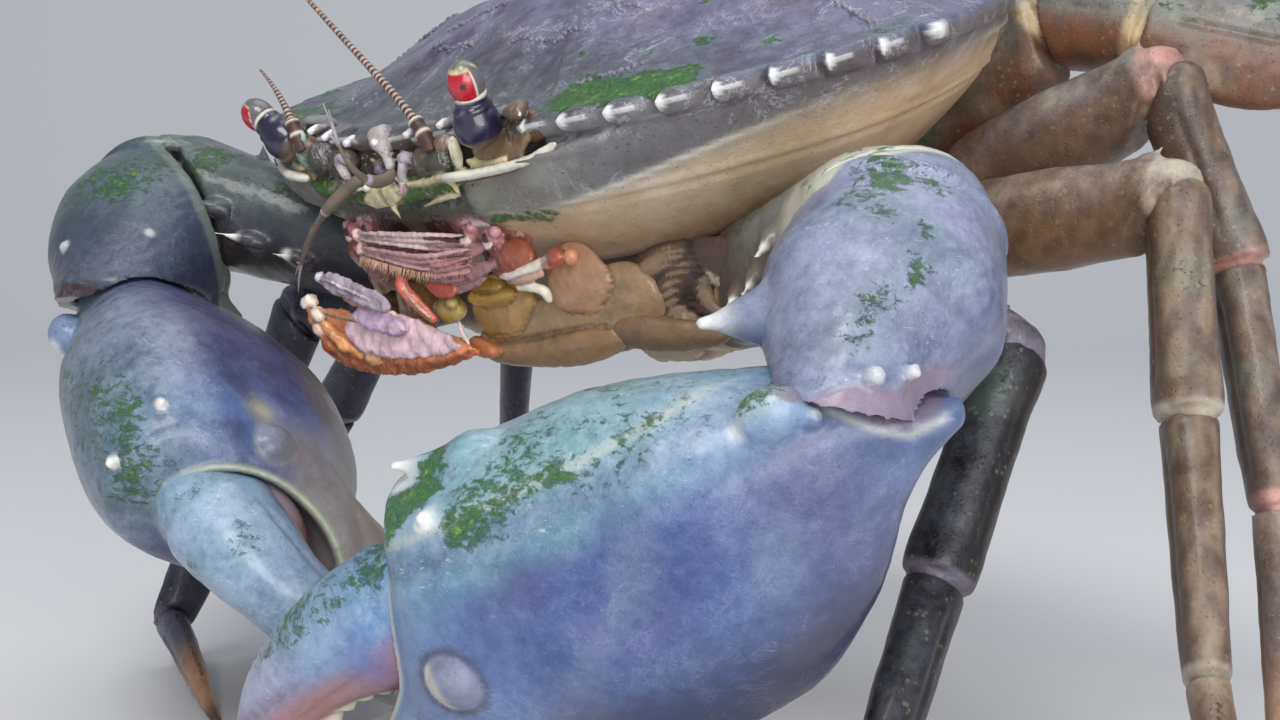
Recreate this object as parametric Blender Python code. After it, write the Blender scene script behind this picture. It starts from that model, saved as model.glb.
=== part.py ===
"""A giant mud crab (Scylla serrata), life size: one closed solid for each shell plate.

The crab faces -Y, its left side is +X and +Z is up. It stands on the tips of six walking legs,
claws folded in front and swimming legs raised. Shapes are worked out in millimetres.
"""
import math

import bmesh
import bpy
from mathutils import Matrix, Vector

MM = 0.001
UP = Vector((0.0, 0.0, 1.0))

# Driving dimensions, in millimetres and degrees
CARAPACE_WIDTH = 200.0          # across the ninth pair of teeth
HALF_WIDTH = CARAPACE_WIDTH / 2
CARAPACE_LENGTH = 0.69 * CARAPACE_WIDTH
FRONT_HEIGHT = 124.0            # front margin above the floor
BODY_PITCH = 15.6               # the front is held lower than the back
DOME_HEIGHT = 19.0              # top of the back above its margin
STERNUM_DROP = 23.0             # flat of the breast below the carapace's lower edge
CUT = 0.3                       # gap between two plates that meet

# The trunk's own frame: its origin is the middle of the front margin
TRUNK = Matrix.Translation((0, 0, FRONT_HEIGHT)) @ Matrix.Rotation(math.radians(BODY_PITCH), 4, "X")
DOME_CENTRE = Vector((0, 62, 0))

COLOURS = {
    "back": (0.23, 0.21, 0.24, 1), "belly": (0.55, 0.42, 0.28, 1), "claw": (0.22, 0.26, 0.42, 1),
    "leg": (0.20, 0.14, 0.09, 1), "mouth": (0.62, 0.33, 0.20, 1), "eye": (0.35, 0.02, 0.03, 1),
    "stalk": (0.02, 0.02, 0.05, 1), "feeler": (0.12, 0.08, 0.07, 1),
}
ROUGHNESS = {"eye": 0.12, "stalk": 0.25, "claw": 0.32, "mouth": 0.4}


# ---------------------------------------------------------------- tools

def power(value, exponent):
    """A signed power, which squares off the round of a section."""
    return math.copysign(abs(value) ** exponent, value)


def section(centre, side, up, half, above, below, square=2.2, count=12):
    """One closed section round a centre: half wide to each side, above and below it high."""
    points = []
    for step in range(count):
        angle = 2 * math.pi * step / count
        across = half * power(math.cos(angle), 2 / square)
        height = (above if math.sin(angle) > 0 else below) * power(math.sin(angle), 2 / square)
        points.append(centre + side * across + up * height)
    return points


def disc(centre, side, up, radius, count):
    """One round section."""
    return section(centre, side, up, radius, radius, radius, 2, count)


def loft(rows, start=None, end=None):
    """A closed shell through rows of points, closed on a point or on a flat at each end."""
    shell = bmesh.new()
    rings = [[shell.verts.new(point) for point in row] for row in rows]
    count = len(rings[0])
    for low, high in zip(rings, rings[1:]):
        for step in range(count):
            turn = (step + 1) % count
            shell.faces.new((low[step], low[turn], high[turn], high[step]))
    for ring, tip in ((rings[0], start), (rings[-1], end)):
        if tip is None:
            shell.faces.new(ring)
            continue
        pole = shell.verts.new(tip)
        for step in range(count):
            shell.faces.new((ring[step], ring[(step + 1) % count], pole))
    bmesh.ops.recalc_face_normals(shell, faces=shell.faces)
    return shell


def trim(shell, point, away):
    """Cuts off what lies beyond a plane and closes the cut."""
    geometry = shell.verts[:] + shell.edges[:] + shell.faces[:]
    bmesh.ops.bisect_plane(shell, geom=geometry, plane_co=point, plane_no=away, clear_outer=True)
    rim = [edge for edge in shell.edges if edge.is_boundary]
    bmesh.ops.holes_fill(shell, edges=rim, sides=0)
    return shell


def ball(centre, half, count=8, turn=Matrix.Identity(3)):
    """An ellipsoid with half axes (x, y, z), turned by a rotation."""
    rows = []
    levels = count // 2
    for level in range(1, levels):
        angle = math.pi * level / levels - math.pi / 2
        wide, high = math.cos(angle), half[2] * math.sin(angle)
        row = []
        for step in range(count):
            around = 2 * math.pi * step / count
            spot = Vector((half[0] * wide * math.cos(around), half[1] * wide * math.sin(around), high))
            row.append(centre + turn @ spot)
        rows.append(row)
    pole = turn @ Vector((0, 0, half[2]))
    return loft(rows, centre - pole, centre + pole)


def spine(base, tip, radius, count=5):
    """A thorn: a cone that swells a little above its base and ends on a point."""
    aim = (tip - base).normalized()
    side = aim.orthogonal().normalized()
    up = aim.cross(side)
    reach = (tip - base).length
    rows = [disc(base + aim * reach * part, side, up, radius * wide, count)
            for part, wide in ((-0.3, 1.0), (0.4, 0.68))]
    return loft(rows, None, tip)


def rod(points, radii, count=6):
    """A round feeler through a list of points, with a radius at each."""
    rows = []
    side = (points[1] - points[0]).orthogonal().normalized()
    for place, radius in enumerate(radii):
        ahead = points[min(place + 1, len(points) - 1)]
        behind = points[max(place - 1, 0)]
        aim = (ahead - behind).normalized()
        side = (side - aim * side.dot(aim)).normalized()
        rows.append(disc(points[place], side, aim.cross(side), radius, count))
    return loft(rows)


def place(name, shell, matrix=Matrix.Identity(4)):
    """A Blender object in metres from a shell in millimetres."""
    bmesh.ops.triangulate(shell, faces=shell.faces)
    bmesh.ops.scale(shell, vec=(MM, MM, MM), verts=shell.verts)
    mesh = bpy.data.meshes.new(name)
    shell.to_mesh(mesh)
    shell.free()
    piece = bpy.data.objects.new(name, mesh)
    bpy.context.scene.collection.objects.link(piece)
    offset = Matrix.Translation(matrix.to_translation() * MM)
    piece.matrix_world = offset @ matrix.to_3x3().to_4x4()
    return piece


def plate(name, finish, shell, matrix=Matrix.Identity(4), joined=(), carved=()):
    """One shell plate: its shell, with shapes joined to it one by one and shapes carved out of it."""
    piece = place(name, shell, matrix)
    material = bpy.data.materials.new(name + "_shell")
    material.use_nodes = True
    surface = material.node_tree.nodes["Principled BSDF"]
    surface.inputs["Base Color"].default_value = COLOURS[finish]
    surface.inputs["Roughness"].default_value = ROUGHNESS.get(finish, 0.5)
    piece.data.materials.append(material)
    for kind, shapes in (("UNION", joined), ("DIFFERENCE", carved)):
        for number, shape in enumerate(shapes):
            cutter = place(f"{name}_{kind.lower()}_{number}", shape, matrix)
            cutter.hide_render = True
            cutter.display_type = "WIRE"
            change = piece.modifiers.new(f"{kind.lower()}_{number}", "BOOLEAN")
            change.operation = kind
            change.object = cutter
            change.solver = "EXACT"
    return piece


# ---------------------------------------------------------------- trunk

def tooth_place(angle, inset=0.0):
    """A point of the arc that carries the nine side teeth, inset towards the middle."""
    turn = math.radians(angle)
    reach = Vector((math.cos(turn), -math.sin(turn)))
    return Vector((0.2 * CARAPACE_WIDTH, 0.33 * CARAPACE_WIDTH)) + Vector(
        ((0.3 * CARAPACE_WIDTH - inset) * reach.x, (0.31 * CARAPACE_WIDTH - inset) * reach.y))


def bezier(points, part):
    """A point of the Bezier curve over any number of points."""
    points = list(points)
    while len(points) > 1:
        points = [a.lerp(b, part) for a, b in zip(points, points[1:])]
    return points[0]


FIRST_TOOTH_ANGLE, LAST_TOOTH_ANGLE, SIDE_TEETH = 80.0, 5.5, 9
TOOTH_DEPTH = 4.6


def half_outline():
    """The left half of the carapace's edge from front to back: pairs of edge and toothless edge."""
    front = [((0, 4), (0, 5)), ((6, 0), (6, 5)), ((11.5, 4.5), (11.5, 5.5)), ((17, 1), (17, 6)),
             ((22, 5.5), (22, 6.5)), ((27, 3), (27, 8)), ((31, 9), (31, 11)), ((38, 11), (38, 12.5)),
             ((45, 9), (45, 11.5))]
    pairs = [(Vector(edge), Vector(inner)) for edge, inner in front]
    step = (FIRST_TOOTH_ANGLE - LAST_TOOTH_ANGLE) / (SIDE_TEETH - 1)
    for tooth in range(SIDE_TEETH):
        angle = FIRST_TOOTH_ANGLE - tooth * step
        pairs.append((tooth_place(angle), tooth_place(angle, TOOTH_DEPTH)))
        if tooth < SIDE_TEETH - 1:
            for part, inset in ((0.4, 1.6), (0.74, TOOTH_DEPTH)):
                here = angle - part * step
                pairs.append((tooth_place(here, inset), tooth_place(here, TOOTH_DEPTH + 0.5)))
    back = [Vector((97, 63)), Vector((93, 86)), Vector((72, 112)), Vector((50, 130)), Vector((33, 136))]
    for part in (0.03, 0.25, 0.5, 0.75, 1.0):
        spot = bezier(back, part)
        pairs.append((spot, spot * 0.985))
    pairs.append((Vector((17, CARAPACE_LENGTH - 0.5)), Vector((17, CARAPACE_LENGTH - 3))))
    pairs.append((Vector((0, CARAPACE_LENGTH)), Vector((0, CARAPACE_LENGTH - 2.5))))
    return pairs


def whole_outline():
    """The edge right round: the left half, then the right half back to the front."""
    left = half_outline()
    right = [(Vector((-edge.x, edge.y)), Vector((-inner.x, inner.y))) for edge, inner in left[1:-1]]
    return left + right[::-1]


def edge_height(spot):
    """Height of the carapace's edge: it rises a little towards the sides and drops at the back."""
    rise = 2.0 * (abs(spot.x) / HALF_WIDTH) ** 2
    drop = 5.0 * max(0.0, (spot.y - 70) / 68) ** 2
    return rise - drop


def dome_height(spot, part):
    """Height of the back where part runs from 0 in the middle to 1 at the edge: it is flatter in front."""
    low = edge_height(spot)
    front = min(1.0, max(0.0, (DOME_CENTRE.y - spot.y) / 34.0))
    return low + (DOME_HEIGHT - low) * (1 - part ** (2.3 - 0.3 * front)) ** (0.9 + 1.0 * front)


def belt_height(depth):
    """Height of the slanted plane where the carapace ends above the leg bases."""
    return -30.5 + 0.05 * (depth - 20.0)


def belt_place(spot, shrink=1.0):
    """The point of the carapace's lower edge that stands under a point of its outer edge."""
    heading = Vector((spot.x, spot.y - DOME_CENTRE.y))
    turn = math.atan2(heading.y / 62.0, heading.x / HALF_WIDTH)
    reach_y = 46.0 if math.sin(turn) < 0 else 60.0
    x = 60.0 * shrink * power(math.cos(turn), 0.85)
    y = DOME_CENTRE.y + reach_y * shrink * power(math.sin(turn), 0.85)
    return Vector((x, y, belt_height(y)))


def carapace(limb_rooms):
    """The upper shell: domed back, toothed edge and the side walls that turn in under it."""
    outline = whole_outline()
    rows = []
    for part in (0.45, 0.84):
        row = []
        for edge, inner in outline:
            spot = DOME_CENTRE.to_2d().lerp(inner, part)
            row.append(Vector((spot.x, spot.y, dome_height(inner, part))))
        rows.append(row)
    rows.append([Vector((edge.x, edge.y, edge_height(edge))) for edge, inner in outline])
    rows.append([Vector((inner.x, inner.y, edge_height(inner) - 3.5)) for edge, inner in outline])
    for part in (0.5, 1.0):
        row = []
        for edge, inner in outline:
            top = Vector((inner.x, inner.y, edge_height(inner) - 3.5))
            foot = belt_place(inner)
            frontal = max(0.0, 1 - max(0.0, inner.y) / 40.0)
            behind = max(0.0, (inner.y - 90) / 48.0)
            swell = (2.5 + 3.5 * frontal + 4.0 * behind) * math.sin(math.pi * part)
            outward = Vector((inner.x, inner.y - DOME_CENTRE.y, 0)).normalized()
            row.append(top.lerp(foot, part) + outward * swell)
        rows.append(row)
    shell = loft(rows, Vector((0, DOME_CENTRE.y, DOME_HEIGHT)), Vector((0, 62, belt_height(62))))
    orbits = [ball(Vector((side * 38, 1, -5)), (11, 10, 6.5), 8) for side in (1, -1)]
    plate("carapace", "back", shell, TRUNK, carved=orbits + limb_rooms)


def thorax(coxae, limb_rooms):
    """The breast under the carapace, with the first joint of every limb."""
    outline = [inner for edge, inner in whole_outline()][::4]
    rows = []
    levels = ((0.86, CUT, 7.0), (0.82, 8.0, 8.0), (0.66, 19.0, 9.0), (0.5, STERNUM_DROP, 8.0))
    for shrink, drop, forward in levels:
        row = []
        for inner in outline:
            spot = belt_place(inner, shrink)
            row.append(Vector((spot.x, spot.y + forward, belt_height(spot.y + forward) - drop)))
        rows.append(row)
    plate("thorax", "belly", loft(rows), TRUNK, joined=coxae, carved=limb_rooms)


def abdomen():
    """The tail folded flat under the breast: a narrow blade that widens to the back."""
    floor = STERNUM_DROP + CUT
    rows = []
    for drop in (floor, floor + 1.6, floor + 3.2):
        inset = 1.2 if drop > floor + 2 else 0.0
        row = []
        for x, y in ((3.5, 52), (6.5, 66), (9, 84), (17, 98), (15, 112)):
            row.append(Vector((x - inset, y + 4, belt_height(y + 4) - drop)))
        mirrored = [Vector((-spot.x, spot.y, spot.z)) for spot in row[::-1]]
        rows.append(row + mirrored)
    plate("abdomen", "belly", loft(rows), TRUNK)


# ---------------------------------------------------------------- limbs

def heading_vector(heading, slope):
    """A direction: heading 0 is forward (-Y), 90 the crab's left (+X); slope is up from level."""
    turn, rise = math.radians(heading), math.radians(slope)
    return Vector((math.cos(rise) * math.sin(turn), -math.cos(rise) * math.cos(turn), math.sin(rise)))


DOME_ANGLE = math.radians(48)    # where the round end of a segment has its one extra section
COXA_END = 4.0                  # how far past a hip its coxa reaches
LIMB_ROOM = 0.9                 # air between a limb's first stretch and the trunk


class Segment:
    """One stretch of a limb: its two joints, its own axes and the sections between them."""

    def __init__(self, start, length, heading, slope, mirror, roll=0.0):
        self.start = start
        self.length = length
        self.aim = heading_vector(heading, slope)
        level = heading_vector(heading, 0)
        dorsal = level * -math.sin(math.radians(slope)) + UP * math.cos(math.radians(slope))
        outer = dorsal.cross(self.aim) * mirror
        turn = math.radians(roll)
        self.dorsal = dorsal * math.cos(turn) + outer * math.sin(turn)
        self.outer = outer * math.cos(turn) - dorsal * math.sin(turn)
        self.end = start + self.aim * length

    def at(self, along, outer=0.0, dorsal=0.0):
        """A point in the segment's own axes."""
        return self.start + self.aim * along + self.outer * outer + self.dorsal * dorsal

    def ring(self, along, half, above, below, rise=0.0, sway=0.0, square=2.2, count=8):
        """One section across the segment, at a distance along it."""
        return section(self.at(along, sway, rise), self.outer, self.dorsal, half, above, below, square, count)

    def shell(self, rows, square=2.3, count=12, start_dome=0.7, end_dome=0.7):
        """Rows of (along, half, above, below, rise, sway); a dome closes each end past its joint."""
        rows = [tuple(row) + (0.0,) * (6 - len(row)) for row in rows]
        first, last = rows[0], rows[-1]
        narrow, ahead = math.cos(DOME_ANGLE), math.sin(DOME_ANGLE)
        before = (first[0] - ahead * start_dome * first[1], *[size * narrow for size in first[1:4]], *first[4:])
        after = (last[0] + ahead * end_dome * last[1], *[size * narrow for size in last[1:4]], *last[4:])
        rings = [self.ring(*row, square=square, count=count) for row in (before, *rows, after)]
        start = self.at(first[0] - start_dome * first[1], first[5], first[4])
        end = self.at(last[0] + end_dome * last[1], last[5], last[4])
        return loft(rings, start, end)


def joint_plane(before, after, lean=0.5):
    """The point and direction of a joint's plane: a lean of 0.5 halves the bend between two segments."""
    return before.end, (before.aim * (1 - lean) + after.aim * lean).normalized()


def part_at(shell, joint, keep):
    """Trims a shell at a joint plane: keep is 1 for the segment before it and -1 for the one after."""
    point, across = joint
    return trim(shell, point - across * keep * CUT / 2, across * keep)


def coxa(segment, half, height, reach):
    """The first joint of a limb: a short drum that ends flat where the limb goes on."""
    return loft([segment.ring(along, half * wide, height * wide, height * wide)
                 for along, wide in ((-reach, 0.85), (0, 1.0), (COXA_END - CUT / 2, 1.0))])


def clearance(segment, rows):
    """The room that a limb's first stretch needs, which is carved out of the trunk beside it."""
    return loft([segment.ring(along, half + LIMB_ROOM, above + LIMB_ROOM, below + LIMB_ROOM, rise)
                 for along, half, above, below, rise in rows])


CLAWS = {
    "left": {"mirror": 1, "hip": Vector((38, 42, -45)), "size": 1.0,
             "ischium": 14.0, "merus": (56.0, 83, 14, 0), "carpus": (43.0, 34, -42, 0), "wrist": 0.06,
             "palm": (79.0, -52, -26, 12), "dactyl": (-76, -31)},
    "right": {"mirror": -1, "hip": Vector((-38, 42, -45)), "size": 1.0,
              "ischium": 16.0, "merus": (69.0, -52, 15, 0), "carpus": (42.0, 50, -36, 0), "wrist": 0.34,
              "palm": (78.0, 84, -29, 70), "dactyl": (110, -32)},
}


def claw(side, pose):
    """One claw, from its ischium to its two fingers; returns its coxa and the room it needs."""
    size, mirror = pose["size"], pose["mirror"]
    hip = TRUNK @ pose["hip"]
    long, heading, slope, roll = pose["merus"]
    ischium = Segment(hip, pose["ischium"], heading, slope, mirror)
    merus = Segment(ischium.end, long, heading, slope, mirror, roll)
    carpus = Segment(merus.end, pose["carpus"][0], *pose["carpus"][1:3], mirror, pose["carpus"][3])
    palm = Segment(carpus.end, pose["palm"][0], *pose["palm"][1:3], mirror, pose["palm"][3])
    elbow, wrist = joint_plane(merus, carpus), joint_plane(carpus, palm, pose["wrist"])

    shell = ischium.shell([(4, 9, 10, 10, 0), (ischium.length, 9.5, 10.5, 11, 0)], count=10, start_dome=0.2)
    shell = trim(shell, ischium.at(4 + CUT / 2), -ischium.aim)
    shell = trim(shell, ischium.at(ischium.length - CUT / 2), ischium.aim)
    plate(f"claw_{side}_ischium", "belly", shell)

    rows = [(0, 9.5, 10.5, 11.0, 0), (12, 11.5, 11, 12, 0), (32, 14, 12, 13.5, 0), (50, 16, 13.5, 15, 0),
            (60, 15.5, 13, 15, 0)]
    rows = [(along * long / 60, half * size, above * size, below * size, rise)
            for along, half, above, below, rise in rows]
    shell = merus.shell(rows, count=10, start_dome=0.1)
    shell = trim(shell, merus.at(CUT / 2), -merus.aim)
    thorns = []
    for part, reach in ((0.28, 5.5), (0.47, 6.5), (0.65, 7.0)):
        root = merus.at(part * long, -12.5 * size, 4)
        thorns.append(spine(root, root + (merus.outer * -1 + merus.aim * 0.45) * reach, 3.0))
    thorns.append(spine(merus.at(0.7 * long, 5 * size, 10), merus.at(0.74 * long, 6 * size, 16), 3.0))
    shell = part_at(shell, elbow, 1)
    plate(f"claw_{side}_merus", "claw", shell, joined=thorns)

    long = carpus.length
    rows = [(0, 15, 14, 14, 0), (10, 18.5, 17, 16.5, 0), (24, 21, 19.5, 18, 0), (38, 20, 18, 17, 0),
            (48, 16, 14.5, 14, 0)]
    rows = [(along * long / 48, half * size, above * size, below * size, rise)
            for along, half, above, below, rise in rows]
    shell = part_at(part_at(carpus.shell(rows, count=10), elbow, -1), wrist, 1)
    root = carpus.at(0.62 * long, -15 * size, 5)
    reach = carpus.outer * -12 + carpus.aim * 4 + carpus.dorsal
    thorns = [spine(root, root + reach * size, 6.5 * size)]
    for along, out, high in ((0.56, 12, 14), (0.6, -2, 16)):
        root = carpus.at(along * long, out * size, high * size)
        thorns.append(spine(root, root + (carpus.dorsal * 4.0 + carpus.aim * 1.5), 2.6))
    plate(f"claw_{side}_carpus", "claw", shell, joined=thorns)

    long = palm.length
    hinge = palm.at(79 * long / 80, 0, 1.5 * size)
    dactyl = Segment(hinge, 64 * size, *pose["dactyl"], mirror, palm_roll(palm, pose))
    rows = [(0, 14, 13, 18, 0), (10, 17, 15.5, 28, 0), (26, 20.5, 19.5, 36, 0), (45, 21.5, 22, 38, 0),
            (62, 20, 22.5, 36, 0), (72, 17.5, 22.5, 31, -1), (78, 15.5, 20, 20, -10)]
    rows = [(along * long / 80, half * size, above * size, below * size, rise * size, 0.0)
            for along, half, above, below, rise in rows]
    meeting = dactyl.at(60 * size, 0, -13.6 * size) - palm.start
    base = Vector((86 * long / 80, 0, -20 * size))
    tip = Vector((meeting.dot(palm.aim), meeting.dot(palm.outer), meeting.dot(palm.dorsal)))
    for part, half, height in ((0.0, 12.5, 14), (0.25, 10, 11), (0.5, 8, 9), (0.75, 6, 6.8), (0.96, 3.4, 4)):
        spot = base.lerp(tip, part)
        sag = 7 * size * math.sin(math.pi * part)
        rows.append((spot.x, half * size, height * size, height * size, spot.z - sag, spot.y))
    shell = part_at(palm.shell(rows, count=12, start_dome=1.0, end_dome=1.4), wrist, -1)
    turn = Matrix((dactyl.outer, dactyl.dorsal, dactyl.aim)).transposed()
    socket = ball(dactyl.at(9.5 * size), (16.0 * size, 17.6 * size, 25.0 * size), 10, turn)
    thorns = []
    for along, out, high, reach in ((68, -7, 18, 7.5), (66, 9, 16, 5.5)):
        root = palm.at(along * long / 80, out * size, high * size)
        thorns.append(spine(root, root + (palm.aim * 1.0 + palm.dorsal * 0.8) * reach, 3.2))
    knob = palm.at(11.5 * long / 80, 12.5 * size, 13 * size)
    thorns.append(spine(palm.at(6.5 * long / 80, 9 * size, 7 * size), knob, 5.0 * size))
    for part, reach in ((0.2, 6.0), (0.4, 5.0), (0.58, 4.2), (0.76, 3.4)):
        spot = base.lerp(tip, part)
        high = spot.z + (9.5 - 7.5 * part - 7 * math.sin(math.pi * part)) * size
        root = palm.at(spot.x, spot.y, high)
        thorns.append(spine(root, root + palm.dorsal * reach * size, (3.6 - 1.6 * part) * size))
    plate(f"claw_{side}_palm", "claw", shell, joined=thorns, carved=[socket])

    rows = [(0, 9.5, 12, 11, 0), (10, 9, 11.5, 10, 1), (24, 8, 10.5, 8.5, 1.5), (38, 6.8, 8.5, 7, 0.5),
            (50, 5, 6, 5.5, -2.5), (59, 3, 3.5, 3.5, -6.5)]
    rows = [(along * size, half * size, above * size, below * size, rise * size)
            for along, half, above, below, rise in rows]
    shell = dactyl.shell(rows, count=10, start_dome=1.15, end_dome=1.5)
    teeth = []
    for along, high, reach in ((18, -6, 5.0), (28, -5.6, 4.4), (38, -5.6, 3.8), (47, -6.4, 3.0)):
        root = dactyl.at(along * size, 0, high * size)
        teeth.append(spine(root, root - dactyl.dorsal * reach * size, (3.4 - along * 0.025) * size))
    plate(f"claw_{side}_dactyl", "claw", shell, joined=teeth)
    room = clearance(ischium, [(4, 9.5, 11, 11, 0), (16, 9.5, 11.5, 11.5, 0), (32, 12.5, 13.5, 13, 0),
                               (60, 15.5, 17, 15, 1.5)])
    return coxa(ischium, 10.0, 11.0, 14.0), room


def palm_roll(palm, pose):
    """The roll that keeps the moving finger's back in line with the palm's back."""
    plain = Segment(palm.start, 1.0, *pose["dactyl"], pose["mirror"])
    return math.degrees(math.atan2(palm.dorsal.dot(plain.outer), palm.dorsal.dot(plain.dorsal)))


WALKING_LEGS = {
    # for each side: (length, heading, slope) of merus, carpus and propodus, and the dactyl's heading
    2: {"hip": Vector((44, 61, -46)), "size": 1.0,
        "left": ((65, 86, -10), (41, 10, -60), (40, 26, -46), 32),
        "right": ((67, -55, -11), (40, -18, -68), (41, 8, -60), 78)},
    3: {"hip": Vector((47, 76, -44)), "size": 1.03,
        "left": ((72, 100, 8), (39, 52, -70), (46, 49, -60), 50),
        "right": ((70, -74, -14), (38, -76, -54), (46, -80, -48), -84)},
    4: {"hip": Vector((47, 91, -41)), "size": 0.95,
        "left": ((62, 103, 23), (36, 113, -68), (46, 58, -62), 60),
        "right": ((65, -98, -6), (36, -112, -58), (44, -118, -52), -122)},
}
DACTYL_LENGTH = 52.0


def walking_leg(number, side, pose):
    """A walking leg: merus, carpus, propodus and a pointed dactyl that reaches the floor."""
    mirror = 1 if side == "left" else -1
    size = pose["size"]
    hip = Vector((pose["hip"].x * mirror, pose["hip"].y, pose["hip"].z))
    lengths = pose[side]
    merus = Segment(TRUNK @ hip, *lengths[0], mirror)
    carpus = Segment(merus.end, *lengths[1], mirror)
    propodus = Segment(carpus.end, *lengths[2], mirror)
    drop = propodus.end.z
    slope = -math.degrees(math.asin(min(0.99, drop / DACTYL_LENGTH)))
    dactyl = Segment(propodus.end, drop / math.sin(math.radians(-slope)), lengths[3], slope, mirror)
    knee, elbow = joint_plane(merus, carpus), joint_plane(carpus, propodus)
    ankle = joint_plane(propodus, dactyl)

    def scaled(rows, length, last):
        return [(along * length / last, half * size, above * size, below * size, rise)
                for along, half, above, below, rise in rows]

    rows = scaled([(4, 6.5, 7.5, 7.5, 0), (14, 6.6, 7.8, 7.8, 0), (17, 6.0, 7.0, 7.0, 0), (24, 7.6, 9.0, 9.0, 0),
                   (46, 8.0, 9.6, 9.4, 0), (64, 7.0, 8.4, 8.2, 0), (70, 6.4, 7.6, 7.4, 0)], merus.length, 70)
    shell = merus.shell(rows, count=8, start_dome=0.2, end_dome=0.9)
    shell = part_at(trim(shell, merus.at(4 + CUT / 2), -merus.aim), knee, 1)
    plate(f"leg_{side}_{number}_merus", "leg", shell)

    rows = scaled([(0, 6.0, 7.2, 7.0, 0), (10, 5.6, 6.4, 6.2, 0), (28, 5.8, 6.6, 6.4, 0),
                   (38, 5.6, 6.6, 6.2, 0)], carpus.length, 38)
    shell = part_at(part_at(carpus.shell(rows, count=8, end_dome=0.9), knee, -1), elbow, 1)
    plate(f"leg_{side}_{number}_carpus", "leg", shell)

    rows = scaled([(0, 5.0, 6.2, 6.0, 0), (10, 4.6, 6.6, 6.2, 0), (28, 4.3, 6.6, 6.0, 0),
                   (45, 3.8, 5.0, 4.8, 0)], propodus.length, 45)
    shell = part_at(part_at(propodus.shell(rows, count=8), elbow, -1), ankle, 1)
    plate(f"leg_{side}_{number}_propodus", "leg", shell)

    rows = [(0, 3.5, 4.6, 4.4, 0), (0.25, 3.2, 4.6, 4.0, 0.8), (0.6, 2.5, 3.2, 3.0, 0.8),
            (0.88, 1.6, 1.9, 1.8, 0.2), (1.02, 1.2, 1.3, 1.3, 0)]
    rows = [(along * dactyl.length, half, above, below, rise) for along, half, above, below, rise in rows]
    shell = part_at(dactyl.shell(rows, count=8, end_dome=1.4), ankle, -1)
    shell = trim(shell, Vector((0, 0, 0)), -UP)
    plate(f"leg_{side}_{number}_dactyl", "leg", shell)
    room = clearance(merus, [(4, 6.6, 7.8, 7.8, 0), (17, 6.8, 8.0, 8.0, 0), (40, 8.2, 9.8, 9.6, 0)])
    return coxa(merus, 7.5, 8.5, 13.0), room


SWIMMING_LEG = {"hip": Vector((40, 106, -36)), "merus": (39, 112, 48), "carpus": (22, 102, -6),
                "propodus": (34, 116, -12), "paddle": (50, 120, 2)}


def swimming_leg(side):
    """The last leg, raised beside the back: short stout joints, a flat oval joint and a paddle."""
    mirror = 1 if side == "left" else -1
    hip = SWIMMING_LEG["hip"]
    spot = TRUNK @ Vector((hip.x * mirror, hip.y, hip.z))
    parts = []
    for name in ("merus", "carpus", "propodus", "paddle"):
        length, heading, slope = SWIMMING_LEG[name]
        parts.append(Segment(spot, length, heading * mirror, slope, mirror, 25 if name != "merus" else 0))
        spot = parts[-1].end
    merus, carpus, propodus, paddle = parts
    knee, elbow = joint_plane(merus, carpus), joint_plane(carpus, propodus)
    ankle = joint_plane(propodus, paddle)

    rows = [(4, 7, 8, 8, 0), (10, 7.4, 9, 9, 0), (20, 8.5, 11.5, 11, 0), (30, 8.4, 11, 10.5, 0),
            (37, 7.4, 9, 9, 0)]
    shell = merus.shell(rows, count=10, start_dome=0.2, end_dome=0.9)
    shell = part_at(trim(shell, merus.at(4 + CUT / 2), -merus.aim), knee, 1)
    plate(f"leg_{side}_5_merus", "leg", shell)

    rows = [(0, 7, 8.4, 8.2, 0), (8, 6.8, 9, 8.6, 0), (21, 6, 8.4, 8, 0)]
    shell = part_at(part_at(carpus.shell(rows, count=10), knee, -1), elbow, 1)
    plate(f"leg_{side}_5_carpus", "leg", shell)

    rows = [(0, 5, 8, 8, 0), (8, 4.6, 11, 10.5, 0), (20, 3.8, 12.5, 12, 0), (34, 3, 9.5, 9, 0)]
    shell = part_at(part_at(propodus.shell(rows, count=10), elbow, -1), ankle, 1)
    plate(f"leg_{side}_5_propodus", "leg", shell)

    rows = [(0, 2.6, 8.5, 8, 0), (10, 2.4, 12, 11.5, 0), (24, 2.0, 13.5, 13, 0), (38, 1.6, 11, 10.5, 0),
            (47, 1.3, 6, 5.5, 0)]
    shell = part_at(paddle.shell(rows, count=10, end_dome=2.5), ankle, -1)
    plate(f"leg_{side}_5_paddle", "leg", shell)
    room = clearance(merus, [(4, 7.2, 8.6, 8.6, 0), (20, 8.6, 11.6, 11.2, 0), (40, 8.6, 11.2, 10.8, 0)])
    return coxa(merus, 7.8, 9.0, 12.0), room


# ---------------------------------------------------------------- head

EYES = {"left": (Vector((38, 3.5, -5.5)), Vector((40.7, 1.5, 8.8))),
        "right": (Vector((-34, 3.5, -4.5)), Vector((-46.5, 1.0, 5.6)))}


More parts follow.
